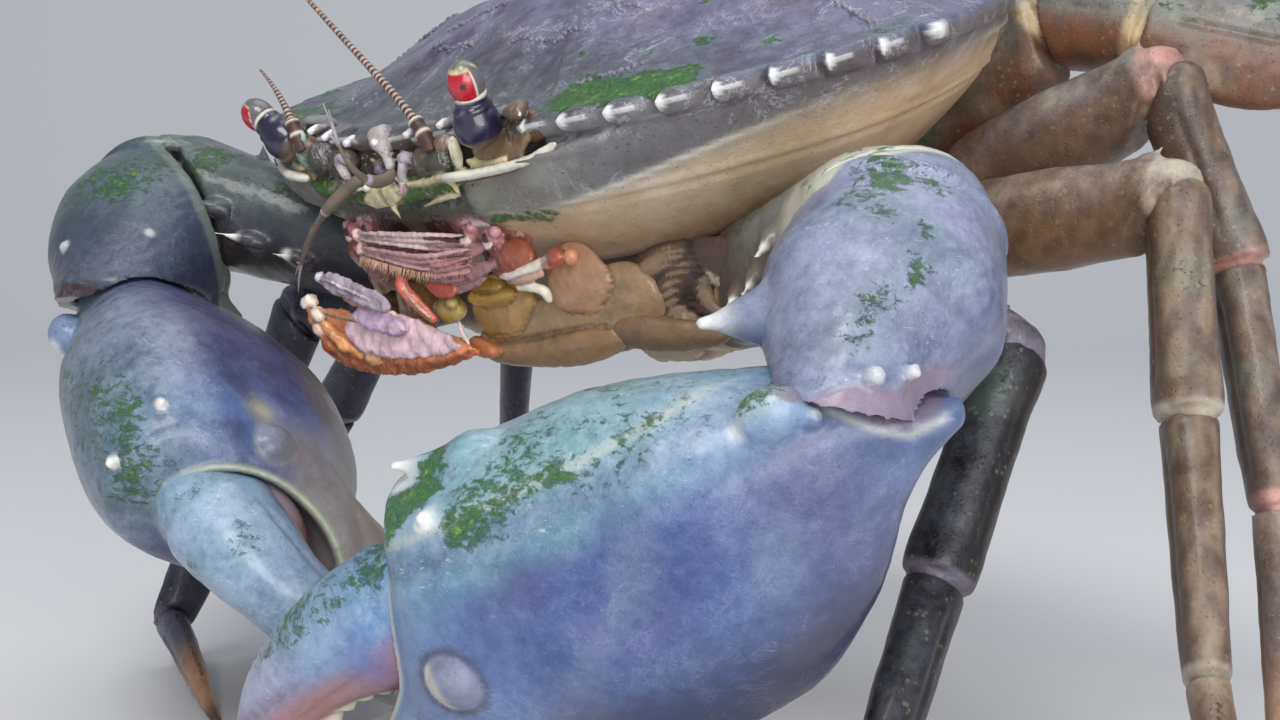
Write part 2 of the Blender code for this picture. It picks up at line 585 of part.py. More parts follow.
def eye(side):
    """A stalk that rises from its orbit, and the cornea that caps it."""
    root, top = EYES[side]
    aim = (top - root).normalized()
    across = Vector((0, 1, 0))
    across = (across - aim * across.dot(aim)).normalized()
    up = aim.cross(across)
    reach = (top - root).length
    rows = [section(root + aim * reach * part, across, up, half, half, half, 2, 10)
            for part, half in ((0.0, 2.6), (0.15, 3.4), (0.45, 3.9), (0.75, 3.5), (1.0, 2.8))]
    shell = loft(rows)
    border = root + aim * reach * 0.82
    stalk = trim(shell, border - aim * CUT / 2, aim)
    plate(f"eyestalk_{side}", "stalk", stalk, TRUNK)
    turn = Matrix((across, up, aim)).transposed()
    cap = ball(top, (3.2, 3.2, 4.3), 10, turn)
    plate(f"cornea_{side}", "eye", trim(cap, border + aim * CUT / 2, -aim), TRUNK)


ANTENNAE = {"left": [Vector(spot) for spot in ((25, 0, -2.5), (24, 0, 5), (2, 2, 15), (-28, 2, 41))],
            "right": [Vector(spot) for spot in ((-28, 0, -2), (-29, 0, 4), (-35, 2, 10), (-42, 2, 15))]}


def antenna(side):
    """A long feeler on a stout base between the eye and the middle of the front."""
    route = ANTENNAE[side]
    points = [bezier(route, step / 8) for step in range(9)]
    radii = [1.7] + [1.15 - 0.85 * step / 8 for step in range(1, 9)]
    plate(f"antenna_{side}", "feeler", rod(points, radii, 6), TRUNK)


ANTENNULES = {"left": [Vector(spot) for spot in ((9, -0.5, -7), (12, -7, -9), (13, -11, -4), (13, -12, 2))],
              "right": [Vector(spot) for spot in ((-5, -0.5, -8), (-9, -7, -11), (-17, -9, -17), (-24, -9, -24))]}


def antennule(side):
    """A small jointed feeler beside the middle of the front."""
    route = ANTENNULES[side]
    points = [bezier(route, step / 6) for step in range(7)]
    radii = [1.6, 1.5, 1.3, 1.1, 0.8, 0.55, 0.35]
    plate(f"antennule_{side}", "feeler", rod(points, radii, 6), TRUNK)


def tilt(pitch, turn=0.0, roll=0.0):
    """A rotation of the trunk frame: pitch about X, then turn about Z and roll about Y, in degrees."""
    return (Matrix.Rotation(math.radians(turn), 3, "Z") @ Matrix.Rotation(math.radians(pitch), 3, "X")
            @ Matrix.Rotation(math.radians(roll), 3, "Y"))


MOUTH = {
    # each pad: its centre, half axes and (pitch, turn, roll)
    "maxilliped_left": [((21.5, 25.5, -39), (9.5, 12, 4.4), (-30, -30, -12)),
                        ((14.5, 16, -38.5), (6.8, 7.5, 3.6), (-14, -32, 0)),
                        ((9, 9.5, -37.5), (4.4, 5.0, 3.4), (-12, -40, 0)),
                        ((6, 5.5, -35), (2.8, 4.2, 2.8), (-40, -30, 0))],
    "maxilliped_right": [((-19, 25, -43), (8.5, 11, 3.8), (8, 28, 10)),
                         ((-13.5, 13, -45.5), (7.5, 9.5, 3.6), (-6, -10, 0)),
                         ((-19, 4, -43.5), (6.4, 9.0, 3.4), (-14, -40, 0)),
                         ((-25, -3.5, -41.5), (3.8, 6.0, 2.8), (-16, -42, 0))],
    "mouthparts_left": [((7.5, 5, -25.5), (6.4, 3.4, 2.6), (-40, 12, 0)),
                        ((7, 6, -29), (6.0, 3.2, 2.8), (-40, 12, 0)),
                        ((12.5, 7, -26.5), (3.4, 3.6, 4.8), (-40, 0, 0))],
    "mouthparts_right": [((-8, 4.5, -25.5), (6.2, 3.4, 2.6), (-40, -12, 0)),
                         ((-7.5, 5.5, -29), (6.0, 3.2, 2.8), (-40, -12, 0)),
                         ((-12.5, 7, -27), (3.4, 3.6, 5.2), (-40, 0, 0))],
}


def mouthpart(name):
    """A group of jaw plates, each a flat rounded pad that runs into the next."""
    pads = [ball(Vector(centre), half, 8 if half[0] > 4 else 6, tilt(*turn))
            for centre, half, turn in MOUTH[name]]
    plate(name, "mouth", pads[0], TRUNK, joined=pads[1:])


# ---------------------------------------------------------------- assembly

def stand_on_floor():
    """Hangs every plate on one empty, and centres the whole over the origin."""
    plates = [piece for piece in bpy.context.scene.objects if piece.type == "MESH"]
    corners = [piece.matrix_world @ Vector(corner) for piece in plates if not piece.hide_render
               for corner in piece.bound_box]
    middle_x = (min(c.x for c in corners) + max(c.x for c in corners)) / 2
    middle_y = (min(c.y for c in corners) + max(c.y for c in corners)) / 2
    root = bpy.data.objects.new("crab", None)
    bpy.context.scene.collection.objects.link(root)
    for piece in plates:
        piece.parent = root
    root.location = (-middle_x, -middle_y, 0)


def build():
    for old in list(bpy.data.objects):
        bpy.data.objects.remove(old)
    limbs = [claw(side, pose) for side, pose in CLAWS.items()]
    for side in ("left", "right"):
        limbs.extend(walking_leg(number, side, pose) for number, pose in WALKING_LEGS.items())
        limbs.append(swimming_leg(side))
        eye(side)
        antenna(side)
        antennule(side)
    inverse = TRUNK.inverted()
    for shell in [shell for limb in limbs for shell in limb]:
        bmesh.ops.transform(shell, matrix=inverse, verts=shell.verts)
    carapace([room.copy() for coxa_drum, room in limbs])
    thorax([coxa_drum for coxa_drum, room in limbs], [room for coxa_drum, room in limbs])
    abdomen()
    for name in MOUTH:
        mouthpart(name)
    stand_on_floor()


build()
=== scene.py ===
"""A giant mud crab (Scylla serrata), life size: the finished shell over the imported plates.

The crab faces -Y, its left side is +X and +Z is up. Shapes are worked out in millimetres.
"""
import math

import bmesh
import bpy
import numpy as np
from mathutils import Matrix, Vector
from mathutils.kdtree import KDTree


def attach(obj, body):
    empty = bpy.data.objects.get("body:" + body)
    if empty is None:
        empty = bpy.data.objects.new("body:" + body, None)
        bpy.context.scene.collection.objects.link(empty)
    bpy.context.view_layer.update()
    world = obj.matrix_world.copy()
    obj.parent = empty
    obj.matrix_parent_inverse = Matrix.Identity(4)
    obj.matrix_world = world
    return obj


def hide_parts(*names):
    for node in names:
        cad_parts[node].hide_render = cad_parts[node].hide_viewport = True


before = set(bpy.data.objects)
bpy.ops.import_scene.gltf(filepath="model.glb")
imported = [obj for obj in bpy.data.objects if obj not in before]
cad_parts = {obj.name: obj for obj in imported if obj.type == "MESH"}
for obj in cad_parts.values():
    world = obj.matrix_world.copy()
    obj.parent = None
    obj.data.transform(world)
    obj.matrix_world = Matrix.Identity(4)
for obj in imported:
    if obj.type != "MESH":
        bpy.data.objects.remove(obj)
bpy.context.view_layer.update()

MM = 0.001
UP = np.array([0.0, 0.0, 1.0])

# Sizes shared with the part's source, in millimetres and degrees
CARAPACE_WIDTH = 200.0
HALF_WIDTH = CARAPACE_WIDTH / 2
CARAPACE_LENGTH = 0.69 * CARAPACE_WIDTH
FRONT_HEIGHT = 124.0
BODY_PITCH = 15.6
DOME_HEIGHT = 19.0
STERNUM_DROP = 23.0
CUT = 0.3
DOME_CENTRE = np.array([0.0, 62.0])

# Where the trunk's own origin, the middle of the front margin, stands over the floor
STAND = np.array([19.24588, -59.75202, FRONT_HEIGHT])
PITCH = math.radians(BODY_PITCH)
TILT = np.array([[1, 0, 0], [0, math.cos(PITCH), -math.sin(PITCH)], [0, math.sin(PITCH), math.cos(PITCH)]])


def trunk(points):
    """Points of the trunk's own frame, placed over the floor."""
    return np.asarray(points, float) @ TILT.T + STAND


def in_trunk(points):
    """Points over the floor, read back in the trunk's own frame."""
    return (points - STAND) @ TILT


def tone(code):
    """A colour of the paint chart by its six-digit code, as linear light; a mixed colour passes through."""
    if not isinstance(code, str):
        return np.asarray(code, float)
    return np.array([(int(code[k:k + 2], 16) / 255) ** 2.2 for k in (0, 2, 4)])


# ---------------------------------------------------------------- curves and shells

def ramp(value, low, high):
    """0 below low, 1 above high and an even S between them."""
    part = np.clip((value - low) / (high - low), 0, 1)
    return part * part * (3 - 2 * part)


def fade(value, low, high):
    """1 below low, 0 above high."""
    return 1 - ramp(value, low, high)


def far(spots, spot):
    """How far each point lies from one spot."""
    return np.linalg.norm(spots - spot, axis=1)


def near_any(spots, ends, low, high):
    """1 close to any of some ends, 0 farther than high from all of them."""
    return np.max([fade(far(spots, end), low, high) for end in ends], axis=0)


def hill(value, middle, width):
    """A bell of height 1 round a middle."""
    return np.exp(-((value - middle) / width) ** 2)


def follow(knots, values, places):
    """A smooth curve through values at knots that never overshoots them."""
    knots, values = np.asarray(knots, float), np.asarray(values, float)
    step, rise = np.diff(knots), np.diff(values) / np.diff(knots)
    slope = np.concatenate([rise[:1], np.zeros(len(rise) - 1), rise[-1:]])
    for k in range(1, len(rise)):
        if rise[k - 1] * rise[k] > 0:
            before, after = 2 * step[k] + step[k - 1], step[k] + 2 * step[k - 1]
            slope[k] = (before + after) / (before / rise[k - 1] + after / rise[k])
    k = np.clip(np.searchsorted(knots, places) - 1, 0, len(step) - 1)
    part = (places - knots[k]) / step[k]
    left, right = values[k], values[k + 1]
    return (left * (1 + 2 * part) * (1 - part) ** 2 + slope[k] * step[k] * part * (1 - part) ** 2
            + right * part ** 2 * (3 - 2 * part) + slope[k + 1] * step[k] * part ** 2 * (part - 1))


def signed_power(values, exponent):
    """A power that keeps the sign."""
    return np.sign(values) * np.abs(values) ** exponent


def grid_shell(rings, start, end):
    """A closed shell through rings of points (rows x count x 3), with a pole at each end."""
    rows, count = rings.shape[:2]
    points = np.vstack([rings.reshape(-1, 3), start, end])
    low = np.arange(count)
    high = (low + 1) % count
    faces = []
    for row in range(rows - 1):
        base = row * count
        faces.extend(np.column_stack([base + low, base + high, base + count + high, base + count + low]).tolist())
    last = (rows - 1) * count
    faces.extend(np.column_stack([high, low, np.full(count, rows * count)]).tolist())
    faces.extend(np.column_stack([last + low, last + high, np.full(count, rows * count + 1)]).tolist())
    return points, faces


def to_bmesh(points, faces):
    shell = bmesh.new()
    corners = [shell.verts.new(point) for point in points]
    for face in faces:
        shell.faces.new([corners[k] for k in face])
    bmesh.ops.recalc_face_normals(shell, faces=shell.faces)
    return shell


def trim(shell, point, away):
    """Cuts off what lies beyond a plane and closes the cut."""
    geometry = shell.verts[:] + shell.edges[:] + shell.faces[:]
    bmesh.ops.bisect_plane(shell, geom=geometry, plane_co=Vector(point), plane_no=Vector(away), clear_outer=True)
    rim = [edge for edge in shell.edges if edge.is_boundary]
    bmesh.ops.holes_fill(shell, edges=rim, sides=0)
    return shell


def ball(centre, half, turn=np.identity(3), count=20):
    """An ellipsoid with half axes (x, y, z), turned by a rotation."""
    level = np.radians(np.linspace(-90, 90, count // 2 + 1)[1:-1])[:, None]
    around = np.linspace(0, 2 * math.pi, count, endpoint=False)[None, :]
    spots = np.stack([half[0] * np.cos(level) * np.cos(around), half[1] * np.cos(level) * np.sin(around),
                      half[2] * np.sin(level) * np.ones_like(around)], axis=-1)
    pole = turn @ np.array([0, 0, half[2]])
    return to_bmesh(*grid_shell(spots @ turn.T + centre, centre - pole, centre + pole))


def unit(vector):
    return vector / np.linalg.norm(vector)


def across(aim):
    """Two directions square to an aim."""
    other = np.array([1.0, 0, 0]) if abs(aim[0]) < 0.8 else np.array([0, 1.0, 0])
    side = unit(np.cross(aim, other))
    return side, np.cross(aim, side)


def rod(points, radii, count=14):
    """A round rod through a list of points, with a radius at each."""
    points, radii = np.asarray(points, float), np.asarray(radii, float)
    around = np.linspace(0, 2 * math.pi, count, endpoint=False)
    side = across(unit(points[1] - points[0]))[0]
    rings = []
    for k in range(len(points)):
        aim = unit(points[min(k + 1, len(points) - 1)] - points[max(k - 1, 0)])
        side = unit(side - aim * (side @ aim))
        up = np.cross(aim, side)
        rings.append(points[k] + radii[k] * (np.cos(around)[:, None] * side + np.sin(around)[:, None] * up))
    head = points[0] - unit(points[1] - points[0]) * radii[0] * 0.5
    tail = points[-1] + unit(points[-1] - points[-2]) * radii[-1] * 0.7
    return to_bmesh(*grid_shell(np.array(rings), head, tail))


def curve(points, count):
    """Points on the Bezier curve over any number of points."""
    parts = np.linspace(0, 1, count)[:, None]
    layer = [np.asarray(point, float)[None, :] * np.ones_like(parts) for point in points]
    while len(layer) > 1:
        layer = [a + (b - a) * parts for a, b in zip(layer, layer[1:])]
    return layer[0]


def thorn(base, tip, radius, blunt=0.12):
    """A thorn with a swollen foot and a rounded point."""
    parts = np.linspace(-0.35, 1, 14)
    spots = np.asarray(base) + np.outer(parts, np.asarray(tip) - np.asarray(base))
    wide = np.where(parts < 0, 1.05, 1.05 - 0.5 * ramp(parts, 0, 0.45) - 0.43 * ramp(parts, 0.3, 1.0))
    return rod(spots, radius * np.maximum(wide, blunt), 12)


# ---------------------------------------------------------------- limb stretches

def heading_vector(heading, slope):
    """A direction: heading 0 is forward (-Y), 90 the crab's left (+X); slope is up from level."""
    turn, rise = math.radians(heading), math.radians(slope)
    return np.array([math.cos(rise) * math.sin(turn), -math.cos(rise) * math.cos(turn), math.sin(rise)])


class Stretch:
    """One stretch of a limb: its two joints and its own axes (aim, outer, dorsal)."""

    def __init__(self, start, length, heading, slope, mirror, roll=0.0):
        self.start = start
        self.length = length
        self.aim = heading_vector(heading, slope)
        rise = math.radians(slope)
        dorsal = heading_vector(heading, 0) * -math.sin(rise) + UP * math.cos(rise)
        outer = np.cross(dorsal, self.aim) * mirror
        turn = math.radians(roll)
        self.dorsal = dorsal * math.cos(turn) + outer * math.sin(turn)
        self.outer = outer * math.cos(turn) - dorsal * math.sin(turn)
        self.end = start + self.aim * length

    def at(self, along, outer=0.0, dorsal=0.0):
        return self.start + self.aim * along + self.outer * outer + self.dorsal * dorsal

    def read(self, points):
        """Points over the floor as distances along, outward and dorsal."""
        away = points - self.start
        return away @ self.aim, away @ self.outer, away @ self.dorsal

    def shell(self, rows, square=2.25, around=56, start_dome=0.7, end_dome=0.7, spacing=1.2):
        """A smooth closed tube through rows of (along, half, above, below, rise, sway)."""
        rows = np.array([tuple(row) + (0.0,) * (6 - len(row)) for row in rows])
        steps = max(8, int((rows[-1, 0] - rows[0, 0]) / spacing))
        places = np.linspace(rows[0, 0], rows[-1, 0], steps)
        table = np.column_stack([places] + [follow(rows[:, 0], rows[:, k], places) for k in range(1, 6)])
        lean = np.radians(np.linspace(82, 12, 6))[:, None]
        shrink = np.hstack([np.ones_like(lean), np.cos(lean), np.cos(lean), np.cos(lean), np.ones_like(lean),
                            np.ones_like(lean)])
        head = table[0] * shrink
        head[:, 0] -= np.sin(lean[:, 0]) * start_dome * table[0, 1]
        tail = (table[-1] * shrink)[::-1]
        tail[:, 0] += np.sin(lean[::-1, 0]) * end_dome * table[-1, 1]
        table = np.vstack([head, table, tail])
        turn = np.linspace(0, 2 * math.pi, around, endpoint=False)[None, :]
        side = table[:, 1:2] * signed_power(np.cos(turn), 2 / square)
        high = np.where(np.sin(turn) > 0, table[:, 2:3], table[:, 3:4]) * signed_power(np.sin(turn), 2 / square)
        rings = (self.start + (table[:, 0:1, None] * self.aim) + (side + table[:, 5:6])[:, :, None] * self.outer
                 + (high + table[:, 4:5])[:, :, None] * self.dorsal)
        start = self.at(places[0] - start_dome * rows[0, 1], rows[0, 5], rows[0, 4])
        end = self.at(places[-1] + end_dome * rows[-1, 1], rows[-1, 5], rows[-1, 4])
        return to_bmesh(*grid_shell(rings, start, end))


def beside(spots, root, end):
    """For each point, how far it is along a thorn's line (0 to 1) and how far from it."""
    way = end - root
    part = np.clip((spots - root) @ way / (way @ way), 0, 1)
    return part, np.linalg.norm(spots - root - part[:, None] * way, axis=1)


def joint_plane(before, after, lean=0.5):
    return before.end, unit(before.aim * (1 - lean) + after.aim * lean)


def part_at(shell, joint, keep, gap=CUT / 2):
    point, way = joint
    return trim(shell, point - way * keep * gap, way * keep)


# ---------------------------------------------------------------- finished pieces

def piece_from(name, shells):
    """One mesh object in metres from shells in millimetres."""
    mesh = bpy.data.meshes.new(name)
    whole = bmesh.new()
    for shell in shells:
        scratch = bpy.data.meshes.new("scratch")
        shell.to_mesh(scratch)
        shell.free()
        whole.from_mesh(scratch)
        bpy.data.meshes.remove(scratch)
    bmesh.ops.scale(whole, vec=(MM, MM, MM), verts=whole.verts)
    bmesh.ops.triangulate(whole, faces=[face for face in whole.faces if len(face.verts) > 4])
    whole.to_mesh(mesh)
    whole.free()
    piece = bpy.data.objects.new(name, mesh)
    bpy.context.scene.collection.objects.link(piece)
    return piece


def settle(piece):
    """Turns a piece's modifiers into a plain mesh."""
    graph = bpy.context.evaluated_depsgraph_get()
    old = piece.data
    mesh = bpy.data.meshes.new_from_object(piece.evaluated_get(graph), preserve_all_data_layers=True, depsgraph=graph)
    piece.modifiers.clear()
    piece.data = mesh
    bpy.data.meshes.remove(old)
    return piece


def fused(name, shells, voxel=0.7, rounds=4, carved=()):
    """Shells grown into one skin, with their corners softened."""
    piece = piece_from(name, shells)
    cutters = []
    for number, shape in enumerate(carved):
        cutter = piece_from(f"{name}_room_{number}", [shape])
        cut = piece.modifiers.new("room", "BOOLEAN")
        cut.operation = "DIFFERENCE"
        cut.object = cutter
        cut.solver = "EXACT"
        cut.use_self = True
        cutters.append(cutter)
    skin = piece.modifiers.new("skin", "REMESH")
    skin.mode = "VOXEL"
    skin.voxel_size = voxel * MM
    soften = piece.modifiers.new("soften", "SMOOTH")
    soften.factor = 0.5
    soften.iterations = rounds
    settle(piece)
    for cutter in cutters:
        bpy.data.objects.remove(cutter)
    return piece


def spots_of(piece):
    """The piece's points over the floor, in millimetres."""
    flat = np.empty(len(piece.data.vertices) * 3)
    piece.data.vertices.foreach_get("co", flat)
    return flat.reshape(-1, 3) / MM


def lumps(points, size, seed=0):
    """Smooth uneven values, mostly between -1 and 1, with swellings about one size across."""
    chance = np.random.default_rng(seed)
    ways = unit_rows(chance.normal(size=(11, 3))) * chance.uniform(0.7, 1.4, (11, 1)) * math.pi / size
    return np.mean(np.sin(points @ ways.T + chance.uniform(0, 2 * math.pi, 11)), axis=1) * 1.8


def unit_rows(rows):
    return rows / np.linalg.norm(rows, axis=1, keepdims=True)


def ways_of(piece):
    """The direction each point of the piece faces."""
    flat = np.empty(len(piece.data.vertices) * 3)
    piece.data.vertex_normals.foreach_get("vector", flat)
    return flat.reshape(-1, 3)


def raised(piece, height):
    """Moves each point along its own direction by a height in millimetres."""
    spots = spots_of(piece) + ways_of(piece) * np.asarray(height)[:, None]
    piece.data.vertices.foreach_set("co", (spots * MM).ravel())
    piece.data.update()
    return spots


def mixed(base, *layers):
    """A base colour with layers of (colour, weight at each point) laid over it in turn."""
    weight = np.asarray(layers[0][1])
    tint = np.ones((len(weight), 3)) * tone(base)
    for colour, weight in layers:
        tint = tint + (tone(colour) - tint) * np.clip(weight, 0, 1)[:, None]
    return tint


def paint(piece, tint, weed=0.0, frost=0.0, skin=0.0):
    """Stores the shell's colour, with any painted shade or highlight a piece has, and how much weed, frost and joint
    skin lies on each point.
    """
    count = len(piece.data.vertices)
    for name, layers in (("tint", [tint[:, 0], tint[:, 1], tint[:, 2], 1.0]), ("cover", [weed, frost, skin, 1.0])):
        table = np.column_stack([np.clip(layer, 0, 1) * np.ones(count) for layer in layers])
        store = piece.data.attributes.new(name, "FLOAT_COLOR", "POINT")
        store.data.foreach_set("color", table.ravel())


def finish(piece, material, slot, *nodes):
    """Gives a piece its material and puts it in the place of its packed plates."""
    piece.data.materials.clear()
    piece.data.materials.append(material)
    piece.data.polygons.foreach_set("use_smooth", np.ones(len(piece.data.polygons), bool))
    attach(piece, "root")
    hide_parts(*nodes)
    return piece


# ---------------------------------------------------------------- materials

class Paint:
    """A shader tree that is filled node by node, with links given by (node, output)."""

    def __init__(self, name):
        self.material = bpy.data.materials.new(name)
        self.material.use_nodes = True
        self.tree = self.material.node_tree
        self.shader = self.tree.nodes["Principled BSDF"]

    def node(self, kind, settings=(), **inputs):
        made = self.tree.nodes.new(kind)
        for key, value in dict(settings).items():
            setattr(made, key, value)
        for key, value in inputs.items():
            self.feed(made, key.replace("_", " "), value)
        return made

    def feed(self, made, key, value):
        socket = next(s for s in made.inputs if s.name == key and s.enabled)
        if isinstance(value, bpy.types.NodeSocket):
            self.tree.links.new(value, socket)
        else:
            socket.default_value = value

    def noise(self, scale, detail=5.0, rough=0.6, warp=0.0, stretch=(1, 1, 1)):
        place = self.node("ShaderNodeMapping", Vector=self.object_place(), Scale=stretch)
        made = self.node("ShaderNodeTexNoise", Vector=place.outputs[0], Scale=scale, Detail=detail, Roughness=rough,
                         Distortion=warp)
        return made.outputs["Fac"]

    def cells(self, scale):
        return self.node("ShaderNodeTexVoronoi", Vector=self.object_place(), Scale=scale).outputs["Distance"]

    def object_place(self):
        if not hasattr(self, "place"):
            self.place = self.node("ShaderNodeTexCoord").outputs["Object"]
        return self.place

    def times(self, *values, clamp=False):
        return self.sum("MULTIPLY", *values, clamp=clamp)

    def times_plus(self, *values):
        return self.sum("MULTIPLY_ADD", *values)

    def scaled(self, colour, shade):
        return self.node("ShaderNodeVectorMath", {"operation": "SCALE"}, Vector=colour, Scale=shade).outputs[0]

    def set(self, **inputs):
        for key, value in inputs.items():
            self.shader.inputs[key.replace("_", " ")].default_value = value

    def sum(self, operation, *values, clamp=False):
        made = self.tree.nodes.new("ShaderNodeMath")
        made.operation = operation
        made.use_clamp = clamp
        for socket, value in zip(made.inputs, values):
            if isinstance(value, bpy.types.NodeSocket):
                self.tree.links.new(value, socket)
            else:
                socket.default_value = value
        return made.outputs[0]

    def band(self, value, low, high):
        """0 below low and 1 above high, in an even slope."""
        made = self.node("ShaderNodeMapRange", {"interpolation_type": "SMOOTHSTEP"}, Value=value)
        made.inputs["From Min"].default_value = low
        made.inputs["From Max"].default_value = high
        return made.outputs[0]

    def layer(self, below, colour, weight):
        made = self.node("ShaderNodeMix", {"data_type": "RGBA"})
        for key, value in (("Factor", weight), ("A", below), ("B", colour)):
            self.feed(made, key, value)
        return next(s for s in made.outputs if s.enabled)

    def stored(self, name):
        made = self.node("ShaderNodeAttribute", {"attribute_name": name, "attribute_type": "GEOMETRY"})
        return made.outputs["Color"]

    def parts(self, colour):
        return self.node("ShaderNodeSeparateColor", Color=colour).outputs

    def bump(self, height, reach):
        made = self.node("ShaderNodeBump", Strength=1.0, Distance=reach, Height=height)
        self.tree.links.new(made.outputs[0], self.shader.inputs["Normal"])


def rgba(colour):
    return (*[float(part) for part in tone(colour)], 1.0)


WEED, WEED_DARK, WEED_LIGHT = "427E2E", "1C4024", "86BA42"
FROST = "BAC6DC"


def shell_finish(name, rough=0.34, mottle=0.35, grain=0.35, coat=0.35, fleck=0.0, pits=0.5, frost_size=420,
        hairs=0.0):
    """Crab shell: its stored tint, mottled, with frosting, weed film, pale flecks and fine pits."""
    make = Paint(name)
    weed, frost = make.parts(make.stored("cover"))[:2]
    broad = make.noise(70, 4)
    fine = make.noise(frost_size, 8, 0.7)
    dust = make.noise(1500, 4, 0.7)
    tint = make.stored("tint")
    shade = make.times_plus(make.sum("SUBTRACT", broad, 0.5), mottle * 2.0,
                     make.times_plus(make.sum("SUBTRACT", fine, 0.5), grain * 1.6, 1.0))
    colour = make.scaled(tint, shade)
    frosting = make.band(make.times_plus(broad, 0.45, make.times(fine, 0.55)), 0.36, 0.66)
    frosting = make.times(frosting, make.times(frost, 0.75, clamp=True))
    colour = make.layer(colour, rgba(FROST), frosting)
    nicks = make.band(make.noise(760, 5, 0.75, 0.8, (1, 1, 2.2)), 0.585, 0.66)
    nicks = make.times(nicks, make.band(make.noise(130, 3), 0.40, 0.60))
    colour = make.layer(colour, rgba("DEE2E8"), make.times(nicks, make.times(frost, 0.9, clamp=True)))
    shadow = make.band(make.noise(210, 5, 0.65, 0.7), 0.58, 0.72)
    colour = make.layer(colour, make.scaled(colour, 0.66), make.times(shadow, mottle * 1.6))
    if fleck:
        drops = make.cells(620)
        chosen = make.band(make.noise(160, 3), 0.48, 0.60)
        spots = make.times(make.band(drops, 0.30, 0.16), chosen)
        colour = make.layer(colour, rgba("C4B28C"), make.times(spots, fleck))
    if hairs:
        lines = make.sum("ABSOLUTE", make.sum("SUBTRACT", make.noise(85, 7, 0.72, 0.8), 0.5))
        thin = make.times(make.band(lines, 0.012, 0.002), make.band(broad, 0.42, 0.58))
        colour = make.layer(colour, rgba("D6D4E2"), make.times(thin, hairs))
    colour = make.layer(colour, rgba("6C9488"), make.times(weed, 0.42))
    patch = make.noise(420, 7, 0.70, 0.6, (1, 1, 1.6))
    spread = make.noise(95, 4, 0.6, 0.4)
    threads = make.noise(1500, 5, 0.75, 1.2)
    film = make.times_plus(patch, 0.50, make.times_plus(spread, 0.28, make.times(threads, 0.22)))
    film = make.band(make.times_plus(weed, 0.24, film), 0.62, 0.71)
    film = make.times(film, make.times(weed, 2.4, clamp=True))
    film = make.times(film, 0.92)
    green = make.layer(rgba(WEED_DARK), rgba(WEED), make.band(threads, 0.40, 0.56))
    green = make.layer(green, rgba(WEED_LIGHT), make.band(fine, 0.52, 0.70))
    colour = make.layer(colour, green, film)
    make.tree.links.new(colour, make.shader.inputs["Base Color"])
    gloss = make.times_plus(fine, 0.22, rough - 0.11)
    gloss = make.sum("ADD", gloss, make.times(film, 0.30), clamp=True)
    make.tree.links.new(gloss, make.shader.inputs["Roughness"])
    make.set(Coat_Weight=coat, Coat_Roughness=0.18, Subsurface_Weight=0.06, Subsurface_Scale=0.002)
    height = make.times_plus(fine, 0.6, make.times(dust, 0.25))
    height = make.sum("SUBTRACT", height, make.times(make.band(make.cells(900), 0.22, 0.05), pits))
    height = make.times_plus(film, make.times(threads, 1.6), height)
    make.bump(height, 0.00035)
    return make.material


BACK = shell_finish("back_shell_grained", 0.44, 0.34, 0.40, 0.15, pits=0.6, frost_size=360, hairs=0.55)
CLAW = shell_finish("claw_shell_frosted", 0.34, 0.40, 0.20, 0.35, pits=0.25, hairs=0.12)
LEG = shell_finish("leg_shell_flecked", rough=0.42, mottle=0.42, grain=0.50, coat=0.18, fleck=0.18, pits=0.4)
BELLY = shell_finish("belly_shell_smooth", rough=0.42, mottle=0.22, grain=0.20, coat=0.20, pits=0.2)
JAW = shell_finish("jaw_shell_moist", rough=0.30, mottle=0.25, grain=0.30, coat=0.5, pits=0.1)
FEELER = shell_finish("feeler_banded", rough=0.45, mottle=0.15, grain=0.25, coat=0.1, pits=0.0)
BRISTLE = shell_finish("bristle_horny", rough=0.50, mottle=0.30, grain=0.30, coat=0.05, pits=0.0)


def eye_finish(name, rough, coat, grain):
    """Polished eye: its stored tint under a clear coat, with the faint grain of its facets."""
    make = Paint(name)
    facets = make.cells(2600)
    fine = make.noise(700, 4)
    shade = make.times_plus(fine, grain, make.times_plus(facets, -grain * 0.5, 1.0 - grain * 0.3))
    make.tree.links.new(make.scaled(make.stored("tint"), shade), make.shader.inputs["Base Color"])
    make.set(Roughness=rough, Coat_Weight=coat, Coat_Roughness=0.04)
    make.bump(facets, 0.00004)
    return make.material


CORNEA = eye_finish("cornea_polished", 0.26, 0.55, 0.35)
STALK = eye_finish("eyestalk_wet", 0.30, 0.6, 0.35)


# ---------------------------------------------------------------- grains and bristles

